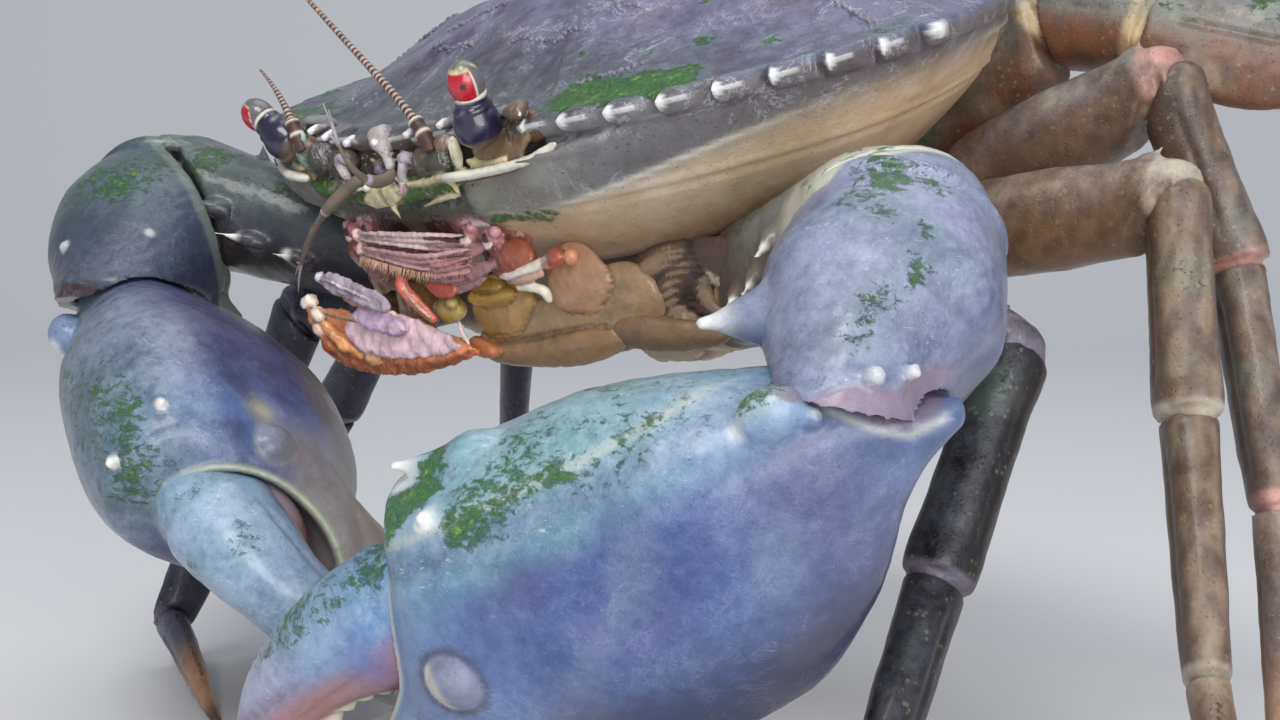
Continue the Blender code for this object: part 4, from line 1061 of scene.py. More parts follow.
def claw_merus(claw):
    """The claw's long upper arm, three-edged, with three thorns on its front edge."""
    left = claw.side == "left"
    stretch, long = claw.merus, claw.merus.length
    rows = stretched([(0, 9.5, 10.5, 11.0), (2.5, 10.4, 11.2, 11.7), (5, 9.8, 10.6, 11.4), (12, 11.5, 11, 12),
                      (32, 14, 12, 13.5), (50, 16, 13.5, 15), (56, 16.4, 13.9, 15.3), (60, 15.5, 13, 15)], long, 60)
    shell = stretch.shell(rows, square=2.35, around=64, start_dome=0.1)
    shell = part_at(trim(shell, stretch.at(0.7), -stretch.aim), claw.elbow, 1, 1.3)
    shapes = [shell]
    thorns = []
    for part, out, high, reach in ((0.38, 12.6, -5.0, 6.0), (0.55, 14.4, -3.8, 8.0), (0.70, 15.8, 1.2, 8.6)):
        root = stretch.at(part * long, -out, high)
        way = stretch.aim - stretch.outer * 0.52
        if left:
            way, reach = stretch.aim * 0.3 - stretch.outer * 0.75 - stretch.dorsal * 0.6, reach * 0.66
        thorns.append((root, root + way * reach))
        shapes.append(thorn(*thorns[-1], 1.9, 0.3))
    shapes.append(thorn(stretch.at(0.7 * long, 5, 9.5), stretch.at(0.74 * long, 6, 16), 3.0))
    shapes.append(thorn(stretch.at(0.86 * long, 12, 7), stretch.at(0.9 * long, 16, 12), 2.8))
    piece = fused(f"claw_{claw.side}_merus_shell", shapes, 0.65, 3)
    spots = spots_of(piece)
    along, out, high = stretch.read(spots)
    raised(piece, 0.22 * lumps(spots, 5.0, 21) + 0.08 * lumps(spots, 1.6, 22))
    tip = np.zeros(len(spots))
    for root, end in thorns:
        part, off = beside(spots, root, end)
        tip = np.maximum(tip, ramp(part, 0.25, 0.55) * fade(off, 1.5, 2.3))
    rim = ramp(along, long * 0.93, long * 0.99)
    spread, streak = lumps(spots, 9, 24), lumps(spots, 3.5, 25)
    if left:
        plate = hill(along, 7.5, 6.5) * hill(high, -2.0, 4.5) * ramp(-out, 2, 7)
        border = ramp(along, long * 0.70, long * 0.82) * ramp(-out, 4, 10)
        tint = mixed("70625A", ("606868", ramp(high, 0, 9) * ramp(along, 14, 30)),
                     ("463830", fade(along, 8, 30) * 0.85), ("C6B67A", ramp(plate, 0.3, 0.55)),
                     ("CCC0AC", border * 0.85), ("804C3E", border * ramp(streak, 0.25, 0.7) * 0.8),
                     ("E2DECE", rim * 0.8), ("F0F0E8", tip))
    else:
        tint = mixed("383842", ("2C3436", ramp(high, -2, 9)),
                     ("4A404C", 0.7 * ramp(spread, 0.0, 0.7)), ("342A2A", fade(high, -9, -2) * 0.8),
                     ("787870", rim * 0.4), ("F0F0E8", tip))
    weed = ramp(high, -4, 9) * (0.22 + 0.36 * ramp(spread, -0.2, 0.7)) * (1 - tip) * ramp(along, 8, 26)
    paint(piece, tint, weed, (0.22 if left else 0.06) * ramp(high, -4, 8), 0.0)
    return finish(piece, CLAW, "claw_shell", f"claw_{claw.side}_merus")


def wrist_edges(claw):
    """The slanting planes that end the carpus above the palm: (point, way out) of each."""
    left = claw.side == "left"
    at, (aim, outer, dorsal) = claw.carpus.at, (claw.carpus.aim, claw.carpus.outer, claw.carpus.dorsal)
    if left:
        return [(at(54, 0, 14.5), aim - outer * 0.2 - dorsal * 0.86),
            (at(48.3, 12.2, 7.25), aim + outer * 2.0 - dorsal * 0.86)]
    return [(at(51.5, 0, 8.1), aim - dorsal)]


def claw_carpus(claw):
    """The claw's wrist joint: a rounded block with a strong inner thorn and two small tubercles."""
    stretch, long = claw.carpus, claw.carpus.length
    left = claw.side == "left"
    rows = [(0, 15, 14, 14), (9, 18.0, 17, 16.5), (21.5, 19.4, 19.5, 18), (30, 16.2, 18.8, 17.2, 0, -0.8),
        (38, 13.6, 17.6, 16.2, 0, -1.0),
            (44, 12.8, 16.6, 15.6, 0, -0.8), (54, 12.2, 14.6, 14.0, 0, -0.4)]
    if not left:
        rows = [(0, 15, 14, 14), (9, 18.5, 17, 16.5), (20.7, 21, 19.5, 18), (31, 19.6, 18.4, 17),
            (38, 17.4, 17.6, 16.2, 0, -0.8),
                (44, 15.6, 16.6, 15.6, 0, -1.2), (52, 14.4, 14.8, 14.2, 0, -1.4)]
    shell = stretch.shell(rows, square=2.2, around=72, end_dome=0.3)
    shell = part_at(shell, claw.elbow, -1, 1.3)
    edges = wrist_edges(claw)
    for spot, way in edges:
        shell = trim(shell, spot, way)
    root = stretch.at(0.62 * long, -11.5, 6.0)
    reach = stretch.outer * -14.5 + stretch.aim * 4.5 + stretch.dorsal * 1.5
    tubercles = [stretch.at(47.2, 6.4, 14.6), stretch.at(43.2, 11.0, 11.0)]
    if not left:
        root, reach = stretch.at(26, -13.0, -9.0), stretch.outer * -7.0 + stretch.aim * 6.5 - stretch.dorsal * 5.0
        tubercles = [stretch.at(38, -8.0, 15.2), stretch.at(40, 10.4, 13.6)]
    shapes = [shell, thorn(root, root + reach, 8.6 if left else 6.6, 0.14 if left else 0.45)]
    for spot in tubercles:
        shapes.append(ball(spot, (1.5, 1.5, 1.5)))
    ring = [stretch.at(2.6 + 0.6 * math.cos(t), 15.6 * math.cos(t), 15.0 * math.sin(t))
        for t in np.linspace(-0.9, 3.6, 60)]
    shapes.append(rod(ring, np.full(60, 1.7), 12))
    piece = fused(f"claw_{claw.side}_carpus_shell", shapes, 0.62, 3, [palm_body(claw, 0.8)])
    spots = spots_of(piece)
    along, out, high = stretch.read(spots)
    inner = np.min([-(spots - spot) @ unit(way) for spot, way in edges], axis=0)
    strip = (3.8 if left else 2.6) * ramp(out, -4, 5) * (1 - 0.6 * ramp(out, 11, 15)) + 0.6
    lobe = fade(inner, strip, strip + 0.7) * ramp(high, -2, 3)
    raised(piece, 0.2 * lumps(spots, 6.0, 31) + 0.06 * lumps(spots, 1.6, 32) - 0.55 * lobe)
    tip = fade(far(spots, root + reach), 1.5, 9.0)
    foot = hill(far(spots, root), 0, 10) * fade(high, 6, 12)
    knobs = near_any(spots, tubercles, 0.9, 1.9)
    rim = fade((spots - claw.elbow[0]) @ claw.elbow[1], 3.4, 4.6)
    shade = hill(inner, strip + 2.2, 1.8) * ramp(high, -2, 3)
    spread = lumps(spots, 12, 33)
    tint = mixed("68708C" if left else "242E38",
                 ("7E7CA0" if left else "2E384C", ramp(high, 2, 13) * ramp(spread, -0.3, 0.6)),
                 ("747892" if left else "343650", 0.7 * ramp(along, 0.3 * long, 0.8 * long)),
                 ("50526C" if left else "262636", fade(high, -9, 0) * 0.9),
                 ("6470A0" if left else "222236", foot * 0.5),
                 ("545C80" if left else "2C2A3C", shade * 0.8),
                 ("887A8C" if left else "382A28", lobe * 0.9),
                 ("CED0B8" if left else "68706C", rim * 0.9),
                 ("E8EAE6", np.maximum(knobs, tip * (0.9 if left else 0.0))))
    weed = 0.0
    beds = (((0.10, -2, 15), 5), ((0.20, 2, 18), 4), ((0.30, -3, 19), 4), ((0.46, 9.8, 16.5), 3),
        ((0.62, 9, 16), 3.2),
            ((0.78, 5, 17), 4), ((0.95, 3, 17), 3.4), ((0.14, 8, 15), 4), ((0.40, 3, 19), 3)) if left else (
        ((0.25, 0, 16), 12), ((0.60, 0, 16), 8), ((0.55, 12, 12), 9))
    for (part, out_at, high_at), wide in beds:
        away = far(spots, stretch.at(part * long, out_at, high_at))
        weed = weed + (0.50 if left else 0.40) * hill(away, 0, wide)
    weed = weed * (1 - knobs) * (1 - tip) + 0.12 * ramp(high, 4, 12)
    frost = (0.5 if left else 0.10) * ramp(high, -4, 9) * (1 - foot) * (1 - rim) * (1 - lobe)
    paint(piece, tint, weed * (1 - lobe), frost, 0.0)
    return finish(piece, CLAW, "claw_shell", f"claw_{claw.side}_carpus")


def pollex_line(claw):
    """The fixed finger's middle line in the palm's own axes: (along, outward, dorsal) from base to tip."""
    palm = claw.palm
    meeting = claw.dactyl.at(60, 0, -13.6) - palm.start
    base = np.array([86 * palm.length / 80, 0, -20])
    return base, np.array([meeting @ palm.aim, meeting @ palm.outer, meeting @ palm.dorsal])


def palm_body(claw, extra=0.0):
    """The swollen palm with the fixed finger; extra millimetres make the room it sits in."""
    left = claw.side == "left"
    palm, long = claw.palm, claw.palm.length
    head = [(-14, 5.0, 1.0, 3.0, -4.6), (-7, 9.2, 4.8, 9.2, -1.8), (0, 12.6, 9.3, 16.5), (10, 16.5, 12.8, 27),
        (26, 20.5, 18.4, 36)]
    if not left:
        head = [(0, 10.6, 9, 15, 0, 1.4), (10, 13.2, 11.6, 25, 0, 1.4), (26, 18.8, 18.6, 36, 0, 1.2)]
    rows = stretched(head + [(45, 21.5, 22, 38), (62, 20, 22.5, 36), (72, 17.5, 22.5, 31, -1),
        (78, 15.5, 20, 20, -10)], long, 80)
    if extra:
        rows = [(row[0], row[1] + extra, row[2] + extra, row[3] + extra, *row[4:]) for row in rows[:len(head) + 1]]
        return palm.shell(rows, square=2.15, around=84, start_dome=0.45 if left else 0.85, end_dome=0.6)
    base, tip = pollex_line(claw)
    for part, half, height in ((0.0, 12.5, 14), (0.25, 10, 11), (0.5, 8, 9), (0.75, 6, 6.8), (0.96, 3.2, 3.8)):
        spot = base + (tip - base) * part
        rows.append((spot[0], half, height, height, spot[2] - 7 * math.sin(math.pi * part), spot[1]))
    return palm.shell(rows, square=2.15, around=84, start_dome=0.35 if left else 0.8, end_dome=1.4)


def claw_palm(claw):
    """The swollen palm with the fixed finger, its thorns behind the hinge and its row of teeth."""
    left = claw.side == "left"
    palm, dactyl, long = claw.palm, claw.dactyl, claw.palm.length
    base, tip = pollex_line(claw)
    shell = palm_body(claw)
    turn = np.column_stack([dactyl.outer, dactyl.dorsal, dactyl.aim])
    socket_middle, socket_half = dactyl.at(12.0), np.array([12.0, 14.6, 20.0])
    shapes = [shell]
    thorns = []
    if left:
        thorns = [(palm.at(57, 3, 18.8), palm.at(69.0, 2.8, 24.8), 6.2),
            (palm.at(56, 13.2, 15.6), palm.at(64, 14.2, 17.0), 2.6)]
    else:
        thorns = [(palm.at(66, -1, 20.8), palm.at(71.0, -1.5, 22.6), 2.2),
            (palm.at(62, -13.0, 16.0), palm.at(66.5, -14.2, 16.9), 1.9)]
    shapes.extend(thorn(*shape, 0.14 if number == 0 and left else 0.5) for number, shape in enumerate(thorns))
    axes = np.column_stack([palm.aim, palm.outer, palm.dorsal])
    knob_middle = palm.at(7.6, 13.8, 9.2) if left else palm.at(6.6, 8.0, 11.0)
    wrist_knob = knob_middle + axes @ ((4.8, 0.8, 0.4) if left else (2.4, 2.6, 2.2))
    shapes += [ball(knob_middle, (5.4, 4.3, 4.2), axes, 28), ball(palm.at(2.6, 13.4, 6.2), (1.7, 1.6, 1.6))]
    if left:
        condyle = palm.at(70.5, 14.6, -7.5)
    else:
        condyle = palm.at(72.5, -14.0, -5.0)
    shapes.append(ball(condyle, np.full(3, 5.4 if left else 4.8)))
    teeth = []
    for number, part in enumerate((0.12, 0.2, 0.29, 0.38, 0.46, 0.55, 0.64, 0.72, 0.8, 0.87)):
        spot = base + (tip - base) * part
        high = spot[2] + 9.5 - 7.0 * part - 7 * math.sin(math.pi * part)
        tall = (6.4 if number % 3 == 1 else 4.2) * (1 - 0.45 * part)
        steps = [palm.at(*spot[:2], high + lift) for lift in (-1, tall * 0.5, tall)]
        teeth.append(steps[2])
        shapes.append(rod(steps, np.array([4.4, 3.7, 2.0]) * (1 - 0.5 * part), 12))
    room = ball(socket_middle, socket_half, turn, 40)
    piece = fused(f"claw_{claw.side}_palm_shell", shapes, 0.62, 4, [room])
    spots = spots_of(piece)
    along, out, high = palm.read(spots)
    away = (spots - socket_middle) @ turn / socket_half
    near = np.linalg.norm(away, axis=1)
    lip = hill(near, 1.07, 0.04) * ramp(along, 40, 60)
    ribs = np.sin(0.9 * along + 0.25 * high + 2.0 * lumps(spots, 14, 40))
    groove = hill(high, -19 - 0.03 * along, 1.6) * ramp(along, 60, 78) * ramp(np.abs(out), 4, 9)
    raised(piece, 0.35 * lumps(spots, 13.0, 41) + 0.07 * lumps(spots, 1.8, 42) + 0.7 * lip - 0.5 * groove
           + 0.05 * ribs * ramp(high, 5, 14))
    tips = 0.8 * fade(far(spots, wrist_knob), 0.6, 3.0)
    for number, (root, end, wide) in enumerate(thorns):
        part, off = beside(spots, root, end)
        tips = np.maximum(tips, ramp(part, 0.45, 0.9) * fade(off, wide * 0.5, wide * 0.9))
    knob = fade(np.linalg.norm((spots - knob_middle) @ axes / (5.4, 4.3, 4.2), axis=1), 1.0, 1.25)
    ball_joint = fade(far(spots, condyle), 5.4, 5.9)
    over = -along - 2.0 - 0.3 * high
    if left:
        over = high - np.interp(along, [-17, -13, -8, -5, 1.5, 9], [0.0, -3.4, -2.8, 0, 7.7, 16])
    membrane = ramp(over, -0.3, 0.4) * fade(along, 8, 14)
    border = hill(over, -0.9, 0.8) * ramp(out, 2, 6) * (1 - knob) * left
    under_border = hill(over, -4.4, 2.6) * ramp(out, 2, 6) * (1 - knob) * left
    toothed = near_any(spots, teeth, 2.2, 4.4)
    inside = fade(near, 0.98, 1.03)
    collar = hill(near, 1.07, 0.035 if left else 0.06) * ramp(along, 45, 62)
    spread, blotch = lumps(spots, 15, 43), lumps(spots, 6, 44)
    ridge = ramp(high + 3.0 * lumps(spots, 10, 47), 2, 16)
    low = fade(high, -30, -12)
    finger = ramp(along, long * 1.08, long * 1.3)
    fore = ramp(along, 52, 66)
    if left:
        tint = mixed("526A9C",
                     ("283A7A", 0.9 * hill(along, 36, 26) * hill(high, -4, 16)),
                     ("4A4E84", 0.8 * hill(along, 46, 16) * ramp(blotch, -0.3, 0.6)),
                     # painted shade: darker purple near the wrist joint, below the ridge
                     ("4C4E78", 0.8 * hill(along, 6, 12) * (1 - ridge)),
                     ("587AA6", 0.8 * ramp(spread, -0.2, 0.7) * fore),
                     ("6492AC", ridge * 0.9), ("5C9490", 0.8 * ridge * hill(along, 44, 24)),
                     ("5C6A8C", 0.6 * ramp(lumps(spots, 9, 46), 0.1, 0.7) * (1 - ridge)),
                     ("2C324C", low * 0.9), ("504E5C", low * ramp(spread, -0.1, 0.6) * 0.7),
                     ("708AB0", knob * 0.8), ("9EB0AA", knob * ramp(high, 9, 12) * 0.7),
                     # painted shade: a dark ring in the crevice round the condyle
                     ("3C405C", hill(far(spots, condyle), 6.2, 0.7) * ramp(along, 62, 68)),
                     ("7C7E90", ball_joint * 0.8), ("CEC8BA", ball_joint * ramp(along, 72.4, 74.6)),
                     ("465882", under_border * 0.8),
                     ("706476", membrane * 0.9), ("B0B4AA", border * 0.8))
    else:
        tint = mixed("3E446C",
                     ("4E486C", 0.8 * hill(along, 34, 22) * hill(out, -18, 12)),
                     ("4E70AC", 0.8 * hill(along, 66, 10) * hill(out, -12, 9)),
                     ("363E60", 0.8 * ramp(blotch, 0.0, 0.7)),
                     ("50606E", ridge * 0.6), ("9E9486", 0.8 * low),
                     ("928A84", 0.7 * ramp(along, 60, 74) * fade(high, -12, -2)),
                     ("687CB0", knob * 0.6),
                     ("CEC89C", hill(far(spots, palm.at(66, -17, -3)), 0, 3.0) * 0.7),
                     ("96948C", ball_joint * 0.4), ("3C2C28", membrane * 0.9))
    tint = mixed(tint, ("7E767A", finger * 0.9),
                 ("967870", finger * fade(high, -60, -30) * 0.4),
                 ("D6D4B2" if left else "B0BA9E", collar * 0.9), ("70646C", inside * 0.9),
                 ("EEEEE6", np.maximum(tips, toothed)))
    if left:
        weed = 0.62 * hill(high, 15, 6.5) * hill(along, 40, 26) * (0.5 + 0.5 * ramp(blotch, -0.5, 0.4))
        weed = weed + 0.72 * fore * ramp(high, 8, 14) * fade(along, 70, 75) * ramp(blotch, -0.7, 0.1)
        weed = weed + 0.14 * ridge + 0.4 * knob * ramp(high, 10, 12.5)
    else:
        weed = 0.45 * hill(out, 2, 9) * ridge + 0.55 * hill(along, 60, 13) * hill(out, -8, 6) * ramp(high, 2, 9)
    weed = weed * (1 - collar) * (1 - tips) * (1 - inside) * (1 - toothed) * (1 - finger)
    frost = np.clip((0.60 * ridge + 0.16 * (1 - low)) * (1.0 if left else 0.6), 0, 1) * (1 - toothed) * (1 - inside)
    frost = frost * (1 - membrane)
    paint(piece, tint, weed, frost, np.maximum(collar, inside))
    return finish(piece, CLAW, "claw_shell", f"claw_{claw.side}_palm")


def claw_dactyl(claw):
    """The moving finger, ridged along its sides, with its row of blunt teeth."""
    left = claw.side == "left"
    stretch = claw.dactyl
    rows = [(-1, 9.2, 11.4, 11, 0), (4, 10.4, 13.0, 12, 0), (10, 10.0, 12.6, 11, 0.6), (24, 8, 10.5, 8.8, 1.5),
            (38, 6.8, 8.5, 7.4, 0.5), (50, 5, 6, 5.8, -2.5), (59, 2.8, 3.2, 3.2, -6.5)]
    shapes = [stretch.shell(rows, square=2.05, around=64, start_dome=1.15, end_dome=1.5, spacing=0.9)]
    teeth = []
    for number, along in enumerate((13, 18, 23, 28.5, 33.5, 38.5, 43, 47, 51)):
        high = -6.0 - 0.01 * along
        tall = 3.2 if number % 3 == 1 else 2.0
        tall *= 1 - 0.007 * along
        steps = [stretch.at(along, 0, high - drop) for drop in (-1, tall * 0.5, tall)]
        teeth.append(steps[2])
        shapes.append(rod(steps, np.array([4.0, 3.3, 1.8]) * (1 - 0.01 * along), 12))
    piece = fused(f"claw_{claw.side}_dactyl_shell", shapes, 0.55, 3)
    spots = spots_of(piece)
    along, out, high = stretch.read(spots)
    grooves = (hill(high, 2.6 - 0.05 * along, 0.8) + hill(high, -2.8 - 0.05 * along, 0.8)) * ramp(along, 6, 14)
    grooves = grooves * fade(along, 50, 58)
    raised(piece, 0.14 * lumps(spots, 5.0, 51) + 0.05 * lumps(spots, 1.5, 52) - 0.55 * grooves)
    toothed = near_any(spots, teeth, 1.8, 4.0)
    point = ramp(along, 46, 62)
    spread = lumps(spots, 9, 53)
    if left:
        tint = mixed("608EBA", ("928CA6", ramp(along, 14, 36) * 0.85),
                     ("9E6866", fade(high, -3, 2) * 0.9), ("4A68AC", hill(along, 8, 7) * hill(high, 0, 6) * 0.8),
                     ("705870", hill(high, 1.0, 1.6) * ramp(along, 22, 34) * 0.6),
                     ("D6C4BE", ramp(along, 50, 62)), ("E8E2CE", toothed))
        weed = 0.55 * ramp(high, 4, 9) * (1 - point)
    else:
        tint = mixed("7492AC", ("627096", ramp(along, 20, 46) * 0.8),
                     ("786E78", fade(high, -6, 1) * 0.6),
                     # painted shade: the pressed-in grooves are darkened
                     ("545464", grooves * 0.6), ("E4E0D0", np.maximum(point, toothed)))
        weed = 0.45 * ramp(spread, -0.2, 0.7) * (1 - point) + 0.4 * hill(along, 10, 5) * ramp(out, -2, 5)
    paint(piece, tint, weed * (1 - toothed), 0.7 * ramp(high, -4, 6), 0.0)
    return finish(piece, CLAW, "claw_shell", f"claw_{claw.side}_dactyl")


def claw_skins(claw):
    """The folded skins of the claw: round the finger's root, in the wrist and in the elbow."""
    left = claw.side == "left"
    dactyl, carpus, palm = claw.dactyl, claw.carpus, claw.palm
    turn = np.column_stack([dactyl.outer, dactyl.dorsal, dactyl.aim])
    socket = [ball(dactyl.at(-2.0), (8.6, 10.6, 4.4), turn, 32)]
    if not left:
        socket.append(ball(dactyl.at(4.0, -1.0, -6.0), (8.8, 7.8, 15.0), turn, 32))
    wrist = fold_skin(palm, -4.5, 3.5, 9.0, 7.5, 12.0, 3)
    elbow = fold_skin(carpus, -4.0, 4.5, 12.5, 11.8, 12.0, 3)
    piece = fused(f"claw_{claw.side}_skins", socket + [wrist, elbow], 0.6, 2)
    spots = spots_of(piece)
    fold = lumps(spots, 2.5, 61)
    rust = ramp((spots - dactyl.start) @ dactyl.aim, 10, 16)
    in_wrist = fade(palm.read(spots)[0], 6, 12)
    wrist_tone = "786878" if left else "342624"
    tint = mixed("968670" if left else "8C7C88", ("705C60", ramp(fold, 0.2, 0.9) * 0.7), ("845444", rust * 0.8),
                 ("966858", ramp(lumps(spots, 8, 62), 0.3, 0.9) * 0.4), (wrist_tone, in_wrist * 0.9))
    paint(piece, tint, 0.0, 0.0, 1.0)
    return finish(piece, CLAW, "claw_shell", f"claw_{claw.side}_palm")


for claw in [Claw("left"), Claw("right")]:
    claw_ischium(claw)
    claw_merus(claw)
    claw_carpus(claw)
    claw_palm(claw)
    claw_dactyl(claw)
    claw_skins(claw)


# ---------------------------------------------------------------- walking and swimming legs

LEG_TONES = {
    # for each pair: upper side, lower side, and the lightest mottling
    2: ("181518", "261E1C", "403836"),
    3: ("6C5440", "745A46", "968268"),
    4: ("604C40", "6A5446", "8E7C68"),
    5: ("60584C", "684230", "8E8470"),
}
RIGHT_LEG_TONES = {number: ("28263C", "302A3A", "4A4660") for number in (2, 3, 4)}
KNEE_SKIN = {2: "968CA0", 3: "CEC4B2", 4: "D4968A", 5: "CEB688"}


def leg_paint(piece, stretch, number, side, kind):
    """Mottled shell, pale at its rims and flecked, with its pale knee skin."""
    spots = spots_of(piece)
    along, _, high = stretch.read(spots)
    long = stretch.length
    codes = RIGHT_LEG_TONES.get(number, LEG_TONES[number]) if side == "right" else LEG_TONES[number]
    top, under, light = (tone(code) for code in codes)
    spread, blotch = lumps(spots, 8, 70 + number), lumps(spots, 3, 80 + number)
    rim = ramp(along, long - 3.0, long - 1.4) * fade(along, long + 4, long + 8)
    rim = rim * (0.35 + 0.65 * ramp(lumps(spots, 5, 75), -0.4, 0.5)) * (0.7 if number == 2 else 1.0)
    lower_joint = 0.62 if kind in ("carpus", "propodus") and side == "left" and number in (3, 4) else 0.0
    streak = lumps(spots * (1, 1, 0.35), 2.4, 84)
    tint = mixed(under, (top, ramp(high, -4, 4)), (light, 0.55 * ramp(spread, 0.2, 0.8)),
                 (top * 0.55, 0.6 * ramp(blotch, 0.1, 0.8)), (top * 0.5, lower_joint + 0.4 * ramp(streak, 0.2, 0.8)),
                 (light * 1.15, 0.5 * hill(high, 5.6, 1.4) * ramp(streak, -0.4, 0.4) * (number != 2)),
                 (KNEE_SKIN[number], 0.75 * rim))
    weed = 0.35 * ramp(spread, 0.2, 0.9) * ramp(high, 0, 6) if kind != "dactyl" else 0.0
    if number == 5:
        weed = 0.55 * ramp(spread, -0.2, 0.7) * ramp(high, -6, 4)
    if kind == "dactyl":
        tint = mixed(top * 1.1, ("B0845C", ramp(along, long * 0.3, long * 0.75)),
                     ("60422C", ramp(along, long * 0.86, long)), (light, hill(along, 0, 6) * 0.8))
    paint(piece, tint, weed, (0.12 if number == 2 or lower_joint else 0.28) * ramp(high, -2, 6), rim)


def leg_joint(name, shapes, stretch, number, side, kind, voxel=0.6):
    piece = fused(f"{name}_shell", shapes, voxel, 3)
    spots = spots_of(piece)
    along, _, high = stretch.read(spots)
    furrow = np.zeros(len(spots))
    if kind == "dactyl":
        furrow = hill(high, 0.6, 0.5) * ramp(along, 4, 10)
        furrow = 0.45 * furrow * fade(along, stretch.length * 0.8, stretch.length * 0.95)
    elif kind in ("propodus", "carpus"):
        furrow = 0.4 * hill(high, 1.5, 0.8) * ramp(along, 4, 9) * fade(along, stretch.length - 9, stretch.length - 4)
    raised(piece, 0.12 * lumps(spots, 4.0, 90 + number) + 0.05 * lumps(spots, 1.4, 95) - furrow)
    leg_paint(piece, stretch, number, side, kind)
    return finish(piece, LEG, "leg_shell", name)


def jointed(stretch, rows, before, after, folds, **shape):
    """The shell of a leg joint, cut at its (plane, gap), and its skin (before, past, half, above, below, depth)."""
    shell = stretch.shell(rows, **shape)
    if before:
        shell = part_at(shell, before[0], -1, before[1])
    else:
        shell = trim(shell, stretch.at(4 + CUT / 2), -stretch.aim)
    shapes = [part_at(shell, after[0], 1, after[1])]
    start, end, half, above, below, *depth = folds
    shapes.append(fold_skin(stretch, stretch.length - start, stretch.length + end, half, above, below, 2, *depth))
    return shapes


def walking_leg(number, side):
    """A walking leg: merus, carpus, propodus and a pointed dactyl that reaches the floor."""
    mirror = 1 if side == "left" else -1
    pose = WALKING_LEGS[number]
    lengths = pose[side]
    merus = Stretch(trunk(mirrored(pose["hip"], side)), *lengths[0], mirror)
    carpus = Stretch(merus.end, *lengths[1], mirror)
    propodus = Stretch(carpus.end, *lengths[2], mirror)
    drop = propodus.end[2]
    slope = -math.degrees(math.asin(min(0.99, drop / DACTYL_LENGTH)))
    dactyl = Stretch(propodus.end, drop / math.sin(math.radians(-slope)), lengths[3], slope, mirror)
    knee, elbow = joint_plane(merus, carpus), joint_plane(carpus, propodus)
    ankle = joint_plane(propodus, dactyl)
    name = f"leg_{side}_{number}"

    rows = stretched([(4, 6.5, 7.5, 7.5), (11, 6.7, 7.9, 7.9), (14, 6.6, 7.8, 7.8), (16.5, 5.9, 6.9, 6.9),
                      (19, 6.9, 8.1, 8.1), (24, 7.6, 9.0, 9.0), (46, 8.0, 9.6, 9.4), (60, 7.2, 8.7, 8.5),
                      (64, 7.3, 8.8, 8.6), (70, 6.6, 7.8, 7.6)], merus.length, 70)
    shapes = jointed(merus, rows, None, (knee, 1.0), (4, 2.5, 5.2, 6.2, 6.0), start_dome=0.2, end_dome=0.9)
    end = merus.at(merus.length - 4.5, 0, 8.0)
    spur = thorn(end, end + merus.aim * 3.2 + merus.dorsal * 2.2, 1.8)
    pivots = [ball(merus.at(merus.length - 2.4, way * 5.4, 0.5), (2.6, 2.2, 2.8)) for way in (-1, 1)]
    leg_joint(f"{name}_merus", [*shapes, spur, *pivots], merus, number, side, "merus")

    rows = stretched([(0, 6.0, 7.2, 7.0), (10, 5.6, 6.4, 6.2), (28, 5.8, 6.6, 6.4), (34, 6.0, 7.0, 6.7),
                      (38, 5.6, 6.6, 6.2)], carpus.length, 38)
    shapes = jointed(carpus, rows, (knee, 1.0), (elbow, 0.8), (3, 2, 4.2, 5.0, 4.8), end_dome=0.9)
    leg_joint(f"{name}_carpus", shapes, carpus, number, side, "carpus")

    rows = stretched([(0, 5.0, 6.2, 6.0), (10, 4.6, 6.6, 6.2), (28, 4.3, 6.6, 6.0), (41, 4.0, 5.4, 5.2),
                      (45, 3.8, 5.0, 4.8)], propodus.length, 45)
    shapes = jointed(propodus, rows, (elbow, 0.8), (ankle, 0.6), (2.5, 1.6, 2.9, 3.9, 3.7, 0.35))
    leg_joint(f"{name}_propodus", shapes, propodus, number, side, "propodus")

    rows = [(0, 3.5, 4.6, 4.4), (0.25, 3.2, 4.6, 4.0, 0.8), (0.6, 2.5, 3.2, 3.0, 0.8), (0.88, 1.6, 1.9, 1.8, 0.2),
            (1.02, 1.2, 1.3, 1.3)]
    rows = stretched(rows, dactyl.length, 1)
    shell = part_at(dactyl.shell(rows, around=40, end_dome=1.4, spacing=0.8), ankle, -1, 0.6)
    shell = trim(shell, np.zeros(3), -UP)
    leg_joint(f"{name}_dactyl", [shell], dactyl, number, side, "dactyl", 0.42)
    parts = np.linspace(0.12, 0.72, 20)
    planted_on = [fringe([dactyl.at(part * dactyl.length, 0, way * (4.3 - 2.6 * part) + 0.6) for part in parts],
                         [dactyl.aim * 0.9 + dactyl.dorsal * way] * 20, 70, 0.14, 40 + number) for way in (-1, 1)]
    planted(f"{name}_dactyl_bristles", BRISTLES, *(np.vstack(pair) for pair in zip(*planted_on)), (2.6, 0.26),
            "68543C", "leg_shell", f"{name}_dactyl", BRISTLE)


